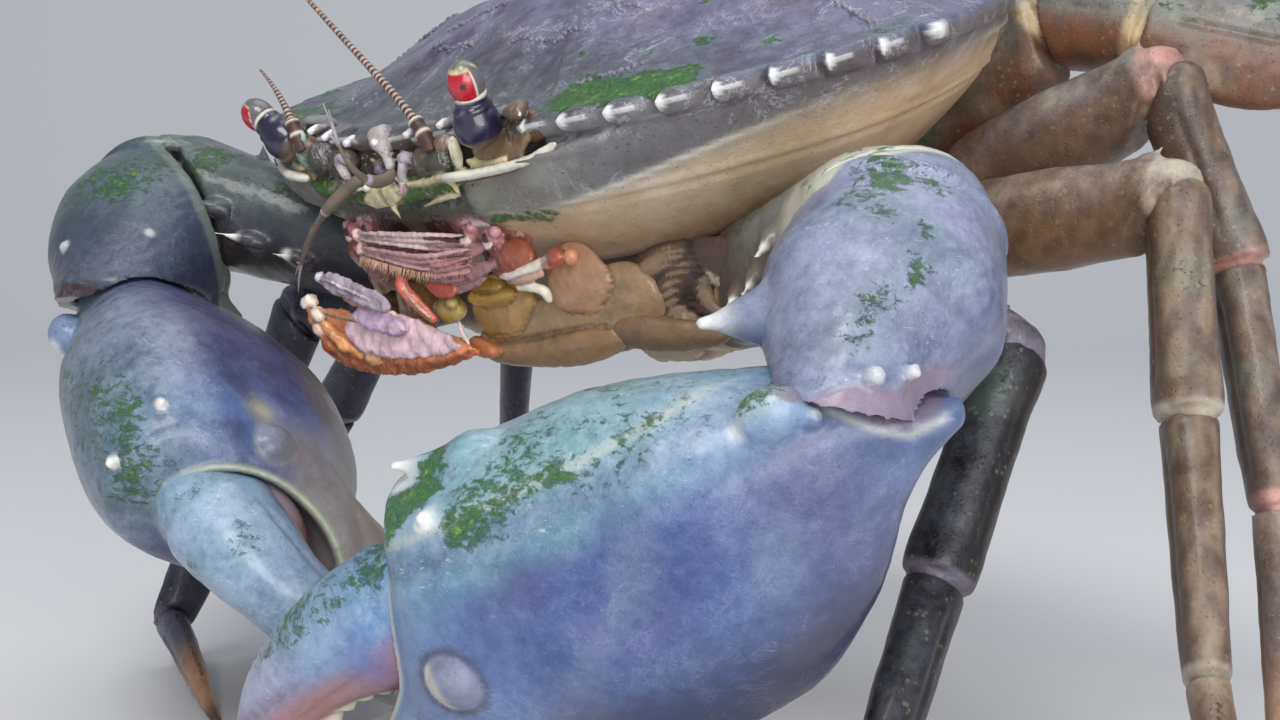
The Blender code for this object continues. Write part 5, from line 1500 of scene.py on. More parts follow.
def swimming_leg(side):
    """The last leg, raised beside the back: short stout joints, a flat oval joint and a paddle."""
    mirror = 1 if side == "left" else -1
    spot = trunk(mirrored(SWIMMING_LEG["hip"], side))
    parts = []
    for kind in ("merus", "carpus", "propodus", "paddle"):
        length, heading, slope = SWIMMING_LEG[kind]
        parts.append(Stretch(spot, length, heading * mirror, slope, mirror, 0 if kind == "merus" else 25))
        spot = parts[-1].end
    merus, carpus, propodus, paddle = parts
    knee, elbow = joint_plane(merus, carpus), joint_plane(carpus, propodus)
    ankle = joint_plane(propodus, paddle)
    name = f"leg_{side}_5"

    rows = [(4, 7, 8, 8), (10, 7.4, 9, 9), (20, 8.5, 11.5, 11), (30, 8.4, 11, 10.5), (37, 7.4, 9, 9)]
    shapes = jointed(merus, rows, None, (knee, 1.0), (4, 2.5, 5.6, 7.0, 6.8), start_dome=0.2, end_dome=0.9)
    leg_joint(f"{name}_merus", shapes, merus, 5, side, "merus")

    rows = [(0, 7, 8.4, 8.2), (8, 6.8, 9, 8.6), (18, 6.3, 8.8, 8.4), (21, 6, 8.4, 8)]
    shapes = jointed(carpus, rows, (knee, 1.0), (elbow, 0.8), (3, 2, 4.2, 6.4, 6.2))
    leg_joint(f"{name}_carpus", shapes, carpus, 5, side, "carpus")

    rows = [(0, 5, 8, 8), (8, 4.6, 11, 10.5), (20, 3.8, 12.5, 12), (34, 3, 9.5, 9)]
    shapes = jointed(propodus, rows, (elbow, 0.8), (ankle, 0.6), (2, 1.6, 2.0, 7.0, 6.6, 0.3))
    leg_joint(f"{name}_propodus", shapes, propodus, 5, side, "propodus", 0.55)

    rows = [(0, 2.6, 8.5, 8), (10, 2.4, 12, 11.5), (24, 2.0, 13.5, 13), (38, 1.6, 11, 10.5), (47, 1.3, 6, 5.5)]
    shell = part_at(paddle.shell(rows, around=72, end_dome=2.5, spacing=0.9), ankle, -1, 0.6)
    leg_joint(f"{name}_paddle", [shell], paddle, 5, side, "paddle", 0.5)
    turn = np.linspace(-2.5, 2.5, 60)
    rim = [paddle.at(24 + 24 * math.cos(t), 0, 12.0 * math.sin(t)) for t in turn]
    ways = [paddle.aim * (0.5 + math.cos(t)) + paddle.dorsal * math.sin(t) for t in turn]
    roots, ways = fringe(rim, ways, 420, 0.12, 31)
    planted(f"{name}_paddle_fringe", BRISTLES, roots, ways, (4.6, 0.34), "705C42", "leg_shell", f"{name}_paddle",
        BRISTLE)


for side in ("left", "right"):
    for number in WALKING_LEGS:
        walking_leg(number, side)
    swimming_leg(side)


# ---------------------------------------------------------------- head

def line_of(side, text):
    """Points and half widths from "x y z width, ...", on the left (1) or right (-1) of the trunk."""
    table = np.array([[float(part) for part in row.split()] for row in text.split(",")])
    return table[:, :3] * (side, 1, 1), table[:, 3]


def smooth_line(points, rows):
    """A line of many points of the trunk through a few, and where along them each lies."""
    points = np.array(points, float)
    knots, places = np.arange(len(points)), np.linspace(0, len(points) - 1, rows)
    return np.column_stack([follow(knots, points[:, k], places) for k in range(3)]), knots, places


def strip(points, widths, thick, face, count=34, rows=44, blunt=0.16):
    """A flat or rounded strip of the trunk: a smooth line of points, half widths and the way its face looks."""
    line, knots, places = smooth_line(points, rows)
    part = np.linspace(0, 1, rows)
    ends = np.minimum(1, np.minimum(part, 1 - part) / blunt)
    ends = np.maximum(0.12, np.sqrt(1 - (1 - ends) ** 2))
    wide = follow(knots, widths, places) * ends
    deep = thick * np.sqrt(ends)
    turn = np.linspace(0, 2 * math.pi, count, endpoint=False)[:, None]
    rings = []
    for k in range(rows):
        aim = unit(line[min(k + 1, rows - 1)] - line[max(k - 1, 0)])
        side = unit(np.cross(aim, face))
        rings.append(line[k] + wide[k] * np.cos(turn) * side + deep[k] * np.sin(turn) * np.cross(side, aim))
    return to_bmesh(*grid_shell(trunk(np.array(rings)), trunk(line[0]), trunk(line[-1])))


def leaf(side, text, thick, face, **shape):
    """A strip drawn as a line of text, on one side of the trunk."""
    return strip(*line_of(side, text), thick, np.array(face, float) * (side, 1, 1), **shape)


def bulb(centre, half, count=24):
    """A rounded lump of the trunk."""
    return ball(trunk(centre), np.array(half, float), TILT, count)


def prong(base, tip, radius, blunt=0.2):
    return thorn(trunk(base), trunk(tip), radius, blunt)


def strand(points, radii, count=12, rows=40):
    """A smooth round strand of the trunk."""
    line, knots, places = smooth_line(points, rows)
    return rod(trunk(line), follow(knots, np.array(radii, float), places), count)


def cord_of(side, text, count=12, rows=40):
    """A strand drawn as a line of text, on one side of the trunk."""
    return strand(*line_of(side, text), count, rows)


def group(name, parts, material, slot, *nodes, uneven=0.16, size=1.6, mottle=0.25, voxel=0.0, rounds=3):
    """Shapes of (shell, colour, weed), joined as one piece, each in its colour; a voxel size grows them together and
    darkens the seams where they meet as painted shade.
    """
    counts = [len(part[0].verts) for part in parts]
    shells = [part[0] for part in parts]
    colour = np.vstack([np.tile(tone(part[1]), (count, 1)) for part, count in zip(parts, counts)])
    weed = np.concatenate([np.full(count, part[2] if len(part) > 2 else 0.0) for part, count in zip(parts, counts)])
    if voxel:
        owner = KDTree(sum(counts))
        number = 0
        for shell in shells:
            for corner in shell.verts:
                owner.insert(corner.co, number)
                number += 1
        owner.balance()
        piece = fused(name, shells, voxel, rounds)
        found = [owner.find_n(Vector(spot), 4) for spot in spots_of(piece)]
        picked = np.array([[near[1] for near in row] for row in found])
        weight = np.array([[1 / (0.05 + near[2]) for near in row] for row in found])
        weight /= weight.sum(axis=1, keepdims=True)
        shape = np.repeat(np.arange(len(counts)), counts)[picked]
        # seam is 1 where two joined shapes meet: the crease is pressed in a little and darkened below as painted
        # shade
        seam = np.clip(2.2 * (1 - (weight * (shape == shape[:, :1])).sum(axis=1)), 0, 1)
        colour, weed = (colour[picked] * weight[..., None]).sum(axis=1), (weed[picked] * weight).sum(axis=1)
    else:
        piece = piece_from(name, shells)
        seam = np.zeros(sum(counts))
    spots = spots_of(piece)
    spots = raised(piece, uneven * lumps(spots, size, 7) + 0.4 * uneven * lumps(spots, size / 3, 8) - 0.22 * seam)
    # random mottle, and painted shade that halves the colour along the seams between joined shapes
    shade = (1 + mottle * lumps(spots, 2.2, 9) + 0.5 * mottle * lumps(spots, 0.8, 10)) * (1 - 0.5 * seam)
    paint(piece, np.clip(colour * shade[:, None], 0, 1), weed)
    return finish(piece, material, slot, *nodes)


EYES = {"left": ((38.6, 3.4, -1.9), (40.7, 1.5, 8.8)), "right": ((-36.5, 3.2, -2.6), (-46.5, 1.0, 5.6))}


def eye(side):
    """A dark stalk that rises from its orbit, and the red cornea that caps it."""
    root, top = (np.array(spot, float) for spot in EYES[side])
    mirror = 1 if side == "left" else -1
    aim, reach = unit(top - root), np.linalg.norm(top - root)
    outward = np.array([0.30 * mirror, -0.95, 0.0])
    outward = unit(outward - aim * (outward @ aim))
    parts = np.linspace(-0.06, 0.84, 34)
    radii = follow([-0.06, 0.04, 0.14, 0.32, 0.58, 0.74, 0.84], [1.9, 3.3, 4.1, 4.4, 3.6, 3.15, 3.1], parts)
    bend = 0.2 * np.sin(parts * 5.0)
    stalk = rod(trunk(root + np.outer(parts * reach, aim) + np.outer(bend, outward)), radii, 40)
    piece = piece_from(f"eyestalk_{side}_shell", [stalk])
    local = in_trunk(spots_of(piece)) - root
    high = local @ aim / reach
    raised(piece, 0.10 * lumps(local, 1.6, 101) + 0.2 * hill(high, 0.62, 0.03) - 0.25 * hill(high, 0.70, 0.02))
    streak = lumps(local, 1.5, 102)
    tint = mixed("26223A", ("3C3454", ramp(streak, 0.2, 0.9)),
                 ("6E5C4A", fade(high, 0.02, 0.16) * 0.8),
                 ("E4DECE", ramp(high, 0.765, 0.80) * 0.9),
                 ("CECCD6", hill(high, 0.58, 0.05) * ramp(streak, 0.5, 1.0) * 0.9))
    paint(piece, tint)
    finish(piece, STALK, "eyestalk", f"eyestalk_{side}")

    frame_turn = np.column_stack([np.cross(outward, aim), outward, aim])
    cap = trim(ball(trunk(top), np.array([3.35, 3.35, 4.4]), TILT @ frame_turn, 56),
               trunk(root + aim * reach * 0.80), -(TILT @ aim))
    piece = piece_from(f"cornea_{side}_lens", [cap])
    local = (in_trunk(spots_of(piece)) - top) @ frame_turn / np.array([3.35, 3.35, 4.4])
    around = np.arctan2(local[:, 0], local[:, 1])
    face = fade(np.abs(around - (0.0 if side == "left" else 0.25)), 1.1, 1.32)
    fall = -0.92 + 0.62 * np.abs(around + 0.55 * mirror)
    face = face * fade(local[:, 2], 0.62, 0.74) * ramp(local[:, 2], fall, fall + 0.16)
    pupil = fade(np.hypot(around + (0.55 if side == "left" else -0.95), (local[:, 2] - 0.16) * 1.2), 0.12, 0.24)
    streak = lumps(local * 4, 1.0, 103)
    tint = mixed("28243A", ("1E301E", ramp(local[:, 2], 0.55, 0.7)),
                 ("BEB460", hill(local[:, 2], 0.76, 0.12) * ramp(streak, -0.2, 0.4) * 0.9),
                 ("607836", ramp(local[:, 2], 0.84, 0.92) * ramp(streak, 0.0, 0.6) * 0.8),
                 ("E8E0D6", hill(face, 0.45, 0.33)), ("B01628", ramp(face, 0.55, 0.8)),
                 ("C6283A", ramp(face, 0.6, 0.8) * ramp(streak, 0.0, 0.9) * 0.5),
                 ("3C0814", pupil * face))
    paint(piece, tint)
    finish(piece, CORNEA, "cornea", f"cornea_{side}")


def orbit_rims():
    """The pale rims of the orbits: the lobe behind each eye, the shelf under it and its forward tooth."""
    cream, brown, grey = "DEDCCC", "685442", "949294"
    parts = []
    for m in (1, -1):
        for x, y, z, wide, long in ((6, -0.8, -0.8, 2.3, 7.0), (17, 0.4, 0.2, 2.1, 6.2), (26.5, 2.4, 1.2, 1.9, 5.6)):
            parts.append((strip([(m * x, y + long, z + 0.9), (m * x, y + long * 0.5, z + 0.5), (m * x, y, z)],
                               [wide * 1.1, wide * 0.9, wide * 0.35], 0.9, (0, -0.2, 1), blunt=0.08), "706A6C"))
            parts.append((strip([(m * x, y + long * 0.34, z + 0.9), (m * x, y + 0.4, z + 0.4), (m * x, y - 0.9, z)],
                               [0.4, wide * 0.5, wide * 0.3], 0.75, (0, -0.2, 1), blunt=0.1), "E8E6E8"))
        parts += [
            (leaf(m, "56.5 7.2 -3.6 0.6, 50 4.8 -6 1.1, 42 1.8 -7 1.3, " "34 -0.2 -7.5 1.7, 27.5 -0.6 -7.8 1.2", 0.95,
             (0, 0.2, 1)), cream),
            (leaf(m, "55 10 -5 1.5, 46 7 -7.2 4, 36 5 -8.2 4.5, 29 3 -8.6 2", 1.1, (0, 0.25, 1)), "7A4832"),
            (leaf(m, "31 5.4 -3.6 2.4, 37 6.2 -4.2 3.6, 44 6.6 -3 3.8, 50 6.4 -0.6 2.2", 0.9, (0, -0.9, 0.45)),
             "846E54"),
            (leaf(m, "31 3.4 -5.6 0.6, 37 3.2 -6.4 0.9, 43 4.4 -5.6 0.6", 0.7, (0, -0.5, 0.9)), "CEC296"),
            (leaf(m, "44 8 2.2 2.4, 48.5 5.6 3.2 2.4, 52.4 3.6 2.6 1", 1.3, (0, -0.3, 1)), brown, 0.1),
            (bulb((m * 46.5, 8.2, -0.8), (6.0, 3.0, 3.2)), "5C4634"),
            (prong((m * 50.5, 5.0, 3.0), (m * 54.0, 2.6, 2.4), 0.8, 0.4), cream),
            (leaf(m, "30 9 0.8 1.4, 36 10.4 1.8 1.6, 43 9.2 2.2 1.4", 0.8, (0, -0.4, 1)), grey),
        ]
    return group("carapace_orbit_rims", parts, BACK, "back_shell", "carapace", uneven=0.08, mottle=0.12, voxel=0.4,
        rounds=2)


def front_plates():
    """Under the front: the epistome with its middle spike, the feelers' sockets and the pale plate by each eye."""
    cream, tan, dark, lilac = "CEC296", "96805C", "463630", "AC9CAC"
    parts = [
        (leaf(1, "-31 1.5 -9.5 1.6, -20 2.5 -11.2 2.6, -8 1.6 -11.2 2.6, 2 1 -11.2 2.8, "
         "12 1.8 -10.4 2.6, 22 2.2 -9.4 2.4, 31 1.8 -9 1.4", 1.5, (0, -1, 0.25), rows=60), tan, 0.75),
        (leaf(1, "-5.5 0 -12.4 1, 0 -0.6 -11.8 2.1, 6 -0.8 -10.8 2.3, 10 -0.4 -9.8 1.2", 0.9, (0.2, -1, 0.1)), cream,
         0.15),
        (prong((4.6, -0.6, -11.6), (8.2, -0.6, -16.2), 1.1, 0.1), cream),
        (prong((-2.5, -0.4, -9.8), (-6.0, -1.2, -9.9), 0.9, 0.5), "E4E2D6"),
        (cord_of(1, "12.5 0.2 -9.2 0.5, 19 0.4 -9 0.75, 25 0.4 -8 0.8, " "28.5 0.4 -8.6 0.7, 30.5 0.6 -11.2 0.4"),
         cream, 0.2),
        (cord_of(1, "16 0.8 -13.6 0.3, 22 0.8 -12.4 0.55, 27 0.8 -11.6 0.6, 30.4 0.8 -11.2 0.4"), cream, 0.1),
        (prong((5.4, 1.0, -0.8), (8.8, -0.4, -5.8), 2.5, 0.42), "A8A09E"),
        (bulb((1.0, 2.6, -6.6), (3.2, 2.2, 2.2)), "786070"),
    ]
    for m in (1, -1):
        parts += [
            (bulb((m * 24.5, 2.4, -4.6), (4.2, 3.2, 3.6)), dark, 0.25),
            (bulb((m * 17.5, 3.2, -5.6), (4.8, 3.0, 3.4)), "5C4A44", 0.2),
            (bulb((m * 27.8, 1.4, -1.6), (1.9, 1.9, 1.7)), "746250"),
            (bulb((m * 30.6, 1.8, -3.6), (1.1, 1.2, 3.2)), "C8C4AA"),
            (bulb((m * 30.4, 2.2, -7.6), (1.6, 1.4, 1.2)), "A08C60", 0.3),
            (bulb((m * 13.0, 0.8, -4.4), (1.9, 1.6, 1.5)), lilac),
            (cord_of(m, "13.4 0.2 -4.6 1.15, 12.2 0 -6.6 1, 10.6 0 -8.6 0.9"), "BCB0B2"),
            (strand([(m * 10 + 1.5 * math.cos(t), -0.6, -9.2 + 1.5 * math.sin(t)) for t in np.linspace(0, 6.28, 13)],
                     [0.5] * 13), "BAA0A0"),
        ]
    parts.append((bulb((-29.0, 0.6, -1.8), (2.7, 1.5, 4.2)), "8CA496", 0.2))
    rest = np.random.default_rng(5)
    for _ in range(150):  # grains of silt caught in the corners of the front
        x = rest.uniform(-33, 33)
        low = rest.uniform(0, 1)
        grain = rest.uniform(0.22, 0.6)
        shade = "544434" if rest.uniform() < 0.6 else "968458"
        parts.append((bulb((x, 0.9 + 1.4 * low, -2.6 - 7.6 * low), (grain, grain, grain * 0.8), count=8), shade, 0.3))
    return group("carapace_front_plates", parts, BACK, "back_shell", "carapace", uneven=0.12, mottle=0.3,
                 voxel=0.36, rounds=1)


ANTENNAE = {"left": ((25, 0, -2.5), (24, 0, 5), (2, 2, 15), (-28, 2, 41)),
            "right": ((-28, 0, -2), (-29, 0, 4), (-35, 2, 10), (-42, 2, 15))}
ANTENNULES = {"left": ((9, -0.5, -7), (12, -7, -9), (13, -11, -4), (13, -12, 2)),
              "right": ((-5, -0.5, -8), (-9, -7, -11), (-17, -9, -17), (-24, -9, -24))}


def antenna(side):
    """A long ringed feeler on a stout base of three joints."""
    count = 260 if side == "left" else 120
    line = curve(ANTENNAE[side], count)
    along = np.concatenate([[0], np.cumsum(np.linalg.norm(np.diff(line, axis=0), axis=1))])
    radii = np.where(along < 6.5, 1.45 + 0.12 * np.cos(along * 1.9), 0.0)
    whip = 0.85 - 0.62 * np.clip((along - 6.5) / (along[-1] - 6.5), 0, 1)
    joint = 1.25 if side == "left" else 1.0
    ring = (along / joint) % 1.0
    radii = np.maximum(radii, whip * (1 + 0.10 * hill(ring, 0.5, 0.3)))
    piece = piece_from(f"antenna_{side}_feeler", [rod(trunk(line), radii, 12)])
    near = np.concatenate([np.repeat(along, 12), [along[0], along[-1]]])
    ring = (near / joint) % 1.0
    whip = ramp(near, 6.2, 6.8)
    tint = mixed("4A342E", ("BEACA0", whip * fade(ring, 0.36, 0.46) * 0.85),
                 ("D8CEBE", hill(near, 3.4, 0.35) + hill(near, 6.3, 0.3)),
                 ("785C54", whip * ramp(near, 0.5 * along[-1], along[-1]) * 0.5))
    paint(piece, tint)
    return finish(piece, FEELER, "feeler", f"antenna_{side}")


def antennule(side):
    """A small jointed feeler beside the middle of the front, split into two fine whips."""
    line = curve(ANTENNULES[side], 60)
    part = np.linspace(0, 1, 60)
    radii = 1.25 - 0.55 * ramp(part, 0.30, 0.5) - 0.35 * ramp(part, 0.6, 1.0)
    radii = radii * (1 + 0.14 * hill(part, 0.40, 0.04) + 0.12 * hill(part, 0.78, 0.03))
    parts = [(rod(trunk(line), radii, 16), "706458")]
    tip, way = line[-1], unit(line[-1] - line[-8])
    for lean, long in ((-0.55, 4.5), (0.35, 6.0), (0.9, 3.5)):
        end = tip + (way + lean * np.array([0.2, 0.1, 1.0])) * long
        parts.append((strand([line[-3], (tip + end) / 2 + [0, 0, 0.3], end], [0.34, 0.25, 0.10], 8, 12),
                      "A096A0"))
    parts.append((bulb(line[24], (1.15, 1.15, 1.1)), "968496"))
    return group(f"antennule_{side}_feeler", parts, FEELER, "feeler", f"antennule_{side}", uneven=0.07, mottle=0.2)


for side in ("left", "right"):
    eye(side)
    antenna(side)
    antennule(side)
orbit_rims()
front_plates()


# ---------------------------------------------------------------- mouth

def cheek_and_palps(side):
    """The upper mouth: gill-cover palps in a fan, the red cheek skin and the two open tubercles."""
    m = 1 if side == "left" else -1
    rose, pale, rust, dark = "B07A7C", "D6BAB8", "9A543E", "4A3030"
    parts = [
        # a dark sheet set behind the palps: painted shade of the recess under the front
        (leaf(m, "2 7.5 -15 4.5, 10 7.5 -17.5 6, 16 9 -22 5.5", 2.0, (0.1, -1, 0)), dark),
        (leaf(m, "8 8 -17 3.6, 20 8.6 -20 5, 32 11.5 -24 4.2", 2.4, (0.3, -1, 0)), "8E5854"),
        (bulb((m * 28, 9.2, -26), (8.5, 3.0, 4.6)), rust),
        (leaf(m, "3 4.2 -29.2 0.7, 10 4 -27.2 1.7, 18 4.6 -24.6 1.9, 26 6.4 -22.6 0.9", 0.75, (0.2, -1, 0.3)), rose),
        (leaf(m, "9 4 -29.6 0.7, 16 3.8 -28.6 1.6, 22 4.6 -27.4 1.7, 27 6 -26.4 0.8", 0.75, (0.2, -1, 0.3)),
         "A07678"),
        (leaf(m, "7 4.4 -32.2 0.6, 13 4.2 -31.2 1.3, 18 4.8 -30.2 1.4, 23 6 -29 0.7", 0.7, (0.2, -1, 0.3)), "A6807C"),
        (leaf(m, "18 6.6 -18.6 0.5, 23 6.6 -18.4 0.8, 27 7.4 -18.8 0.5", 0.5, (0, -1, 0.3)), pale),
    ]
    for x, z in ((20, -20.3), (28, -21.0)):
        parts += [(bulb((m * x, 6.6, z), (2.1, 1.7, 1.9)), "CE8C8C"),
                  (bulb((m * (x + 1.6), 6.4, z + 1.0), (1.3, 1.2, 1.2)), "D8969E"),
                  # a dark dot stands for the open hole: painted shade
                  (bulb((m * x - 0.6, 5.15, z - 0.1), (0.85, 0.5, 0.85)), "341A1E"),
                  (strip([(m * x - 1.4, 5.2, z - 0.6), (m * x, 4.9, z - 1.6), (m * x + 1.3, 5.2, z - 1.2)],
                        [0.4, 0.55, 0.4], 0.4, (0, -1, 0)), "ECD6CE")]
    if side == "left":
        fan = [((-14.5, 0, -19.8), (-3, -0.6, -19.9), (9, 0.4, -20.4), (20, 4.5, -22.0), 1.15, pale),
               ((-14.5, 0, -22.6), (-2, -0.8, -23.4), (11, 0.0, -24.6), (22, 4.5, -24.6), 1.15, "C49898"),
               ((-6.0, 0.6, -24.6), (3, 0, -25.4), (14, 0.6, -26.4), (22, 4.0, -25.8), 1.0, rose),
               ((-9.0, 2.0, -21.4), (2, 1.2, -21.8), (12, 1.6, -22.6), (20, 5.0, -23.4), 0.95, "96686C"),
               ((2.0, 1.6, -27.2), (8, 1.2, -27.8), (15, 1.8, -28.0), (22, 4.6, -27.4), 0.85, "966C6E")]
        for a, b, c, d, wide, colour in fan:
            # each palp is three strips of one colour: the middle one darker as painted shade in its fold, the lower
            # one lighter as a painted highlight
            for lift, share, shade in ((0.62, 0.42, 1.0), (-0.05, 0.34, 0.82), (-0.66, 0.40, 1.08)):
                line = [(spot[0] + 0.5 * lift, spot[1] - 0.15 * abs(lift), spot[2] + lift * wide * (0.7 + 0.5 * part))
                        for part, spot in enumerate((a, b, c, d))]
                parts.append((strip(line, [wide * share * 0.8, wide * share, wide * share * 1.2, wide * share],
                    wide * 0.34,
                                   (0.1, -1, 0.4), count=12, rows=60, blunt=0.05), tone(colour) * shade))
        parts.append((leaf(1, "-12.5 1.6 -21.2 1.6, -3 1.2 -22.2 2.8, 9 1.8 -24 4, 21 5.2 -24.8 3.6", 0.9,
            (0.1, -1, 0.4), rows=50), "805656"))
        for spot in ((-14.6, -0.1, -19.7), (-14.6, -0.1, -22.6)):
            parts.append((bulb((spot[0] + 0.4, spot[1] - 0.7, spot[2] + 0.2), (0.75, 0.7, 0.75), count=12),
                          "963C34"))
            parts.append((bulb((spot[0] + 1.6, spot[1], spot[2]), (1.5, 1.3, 1.35)), "E2BEB8"))
        parts.append((cord_of(1, "2 -0.4 -27.6 1, 1.6 -0.8 -29.4 1.35, 3.4 -0.6 -31.8 1.3, "
            "6.4 -0.2 -34.2 1.15, 9.4 0.2 -36.6 0.8", 16), "D66854"))
        parts.append((cord_of(1, "2.6 -1 -29 0.3, 4.2 -1.2 -31.6 0.5, 7 -0.9 -34 0.5, 9.2 -0.6 -35.8 0.3", 10),
            "F0BAA0"))
        parts.append((leaf(1, "5 3 -29.6 1.6, 10 3 -30.6 2.2, 15 3.4 -31.4 1.2", 0.8, (0.1, -1, 0.3)),
                      "BC5C48"))
    else:
        for number in range(4):
            z = -22.0 - 2.1 * number
            parts.append((strip([(-6 - number, 2.0, z), (-14, 2.4, z - 0.4), (-22, 5.0, z + 0.4)], [0.8, 1.2, 0.8],
                0.8,
                               (-0.1, -1, 0.3)), rose if number % 2 else "C49898"))
    return group(f"mouthparts_{side}_palps", parts, JAW, "jaw_shell", f"mouthparts_{side}", uneven=0.14, size=1.1,
                 voxel=0.32, rounds=2)


def arm_folds(side):
    """The nested folds of tan skin between the mouth and the root of the claw."""
    m = 1 if side == "left" else -1
    tan, brown, pale = "947C64", "4A362E", "C4B4A0"
    # the dark brown sheets behind and the narrow brown arcs between the tan folds are painted shade in the gaps
    # between folds
    parts = [
        (leaf(m, "44 21.5 -41.5 6.5, 50 23.5 -38.5 9, 56 27 -36 9, 62 31 -36 8", 2.4, (0.42, -0.88, 0.0), rows=40),
         brown),
        (leaf(m, "43 19 -42.6 3, 50 20.6 -43.2 3.6, 58 24.4 -44.4 3, 66 28.6 -44.6 2", 2.2, (0.36, -0.9, -0.2),
         rows=40), "8C7258"),
        (leaf(m, "56 28 -30.5 3.4, 64 30 -32 5, 74 33 -32.5 4", 1.6, (0.5, -0.86, 0.0), rows=40), "5C4842"),
    ]
    # tan folds alternate with narrow brown arcs of painted shade
    arcs = (
        ([(62, 33, -29.0), (56, 26.6, -29.6), (51, 22.6, -32.0), (48.8, 21.6, -35.6), (48.8, 22.2, -39.4),
         (51, 23.4, -42.6)], 1.7, tan),
        ([(63, 33, -30.0), (57, 27.4, -30.8), (53.2, 24.6, -33.0), (51.6, 23.8, -36.6), (52.0, 24.0, -40.0),
         (55, 25.0, -43.4)], 0.9,
         brown),
        ([(65, 33, -30.6), (59, 28.4, -31.6), (55.6, 25.8, -34.0), (54.6, 25.0, -37.4), (56.0, 25.2, -40.8),
         (60, 26.6, -43.6)], 1.6,
         tan),
        ([(66, 34, -31.6), (60.6, 29.4, -32.8), (57.9, 27.4, -35.6), (58.2, 26.8, -38.8), (61.4, 27.6, -41.6)], 0.8,
         brown),
        ([(68, 34, -32.2), (62.8, 29.6, -33.8), (60.8, 28.2, -36.6), (61.8, 28.0, -39.6), (66, 29.2, -42.0)], 1.2,
         tan),
        ([(70, 34, -33.2), (65.6, 30.8, -35.2), (64.6, 29.6, -37.8), (66.4, 29.8, -40.4)], 0.7, brown),
    )
    for line, wide, colour in arcs:
        line = [(m * spot[0], spot[1], spot[2]) for spot in line]
        radii = [wide * 0.6] + [wide] * (len(line) - 2) + [wide * 0.6]
        parts.append((strip(line, radii, wide * 0.8, (0.6 * m, -0.8, 0.1), rows=90, blunt=0.1), colour))
    parts.append((leaf(m, "62 29 -32.6 0.9, 64.6 29.4 -35 1.6, 68 31 -36 0.7", 0.7, (0.7, -0.7, 0.1)), pale))
    parts.append((leaf(m, "66 30 -38.4 2.2, 71 31.4 -38 3.4, 77 34 -36.6 2.4", 1.4, (0.6, -0.76, 0.1)), "BCAC60",
        0.2))
    return group(f"thorax_arm_folds_{side}", parts, BELLY, "belly_shell", "thorax", uneven=0.16, size=2.2,
        mottle=0.16,
                 voxel=0.42, rounds=1)


def maxilliped_left():
    """The left outer jaw, folded shut: its broad plates, the yellow disc and the white folded palp."""
    tan, ochre, white = "C29674", "B2903A", "EEE0D2"
    parts = [
        (leaf(1, "33 14.8 -27.6 4, 37.5 15.2 -30.6 6.8, 40.5 15.8 -34.2 7, 41 17.2 -37.8 3.6", 1.9, (0.42, -0.9, 0.1),
         rows=80, blunt=0.22), tan),
        (leaf(1, "8 10.6 -43.6 3.4, 22 12.4 -42.6 5.4, 36 16.6 -40.6 7.4, " "46 20.4 -38 8.6, 54 24 -37 7", 2.2,
         (0.36, -0.92, -0.1), rows=110), "AC8E68"),
        (leaf(1, "7.6 11 -37.4 3, 13 10.2 -37 5.9, 20 10.6 -36 6.3, 27.5 12.4 -35.2 3.4", 1.8, (0.32, -0.94, 0.1),
         rows=80, blunt=0.28), "C09860"),
        (leaf(1, "12.2 9.6 -32.6 1.6, 17 9.2 -31.9 2.9, 22.5 9.8 -32 1.8", 1.7, (0.32, -0.94, 0.3)), ochre),
        (leaf(1, "10.4 9.2 -34.6 1.4, 17 8.8 -33.9 2.2, 25 10.4 -33.6 1.4", 1.8, (0.32, -0.94, 0.2)), "C69C4C"),
        (bulb((3.4, 7.4, -36.9), (4.5, 2.9, 2.9)), "C6AC64"),
        (bulb((1.2, 6.4, -36.2), (1.6, 1.4, 1.2)), "DECA8C"),
        (bulb((6.6, 6.2, -35.0), (1.5, 1.3, 1.1)), "D8C080"),
        (cord_of(1, "26 7.6 -29 0.7, 31 7.4 -28.8 1.25, 36 8.2 -27.6 1.3, 41.5 10.4 -25.4 1.1", 14), white),
        (cord_of(1, "30 7 -29.9 0.5, 34.5 7.2 -29.4 0.8, 39 8.8 -28.6 0.5", 12), "CEA08C"),
        (cord_of(1, "31.4 7.4 -31.2 0.6, 35.6 7.6 -31 0.9, 38.6 8.6 -32 1, 38.9 8.9 -34 0.6", 14), "F0E8D6"),
        (bulb((41.8, 10.8, -25.8), (2.4, 2.0, 1.9)), "AA5442"),
        (bulb((39.6, 10.0, -26.6), (1.5, 1.3, 1.5)), "D8785A"),
        (bulb((44.4, 12.2, -26.2), (1.6, 1.4, 1.7)), "DE966E"),
        (cord_of(1, "11.8 4 -37.8 0.35, 12.8 3.6 -40 0.5, 14 3.8 -42.4 0.4", 10), "E0C8BE"),
        (leaf(1, "9 10.6 -46.2 2.2, 20 12 -46 3.4, 33 14.6 -45.4 3.8, 46 19.4 -43.6 3", 2.6, (0.3, -0.9, -0.3),
         rows=50), "A0805A"),
        (leaf(1, "8 8 -43.4 1.4, 12 7.4 -44.6 2, 17 8 -45.2 1.2", 1.4, (0.2, -0.95, 0)), "CC8058"),
    ]
    return group("maxilliped_left_plates", parts, JAW, "jaw_shell", "maxilliped_left", uneven=0.14, size=2.4,
                 mottle=0.16, voxel=0.36, rounds=2)


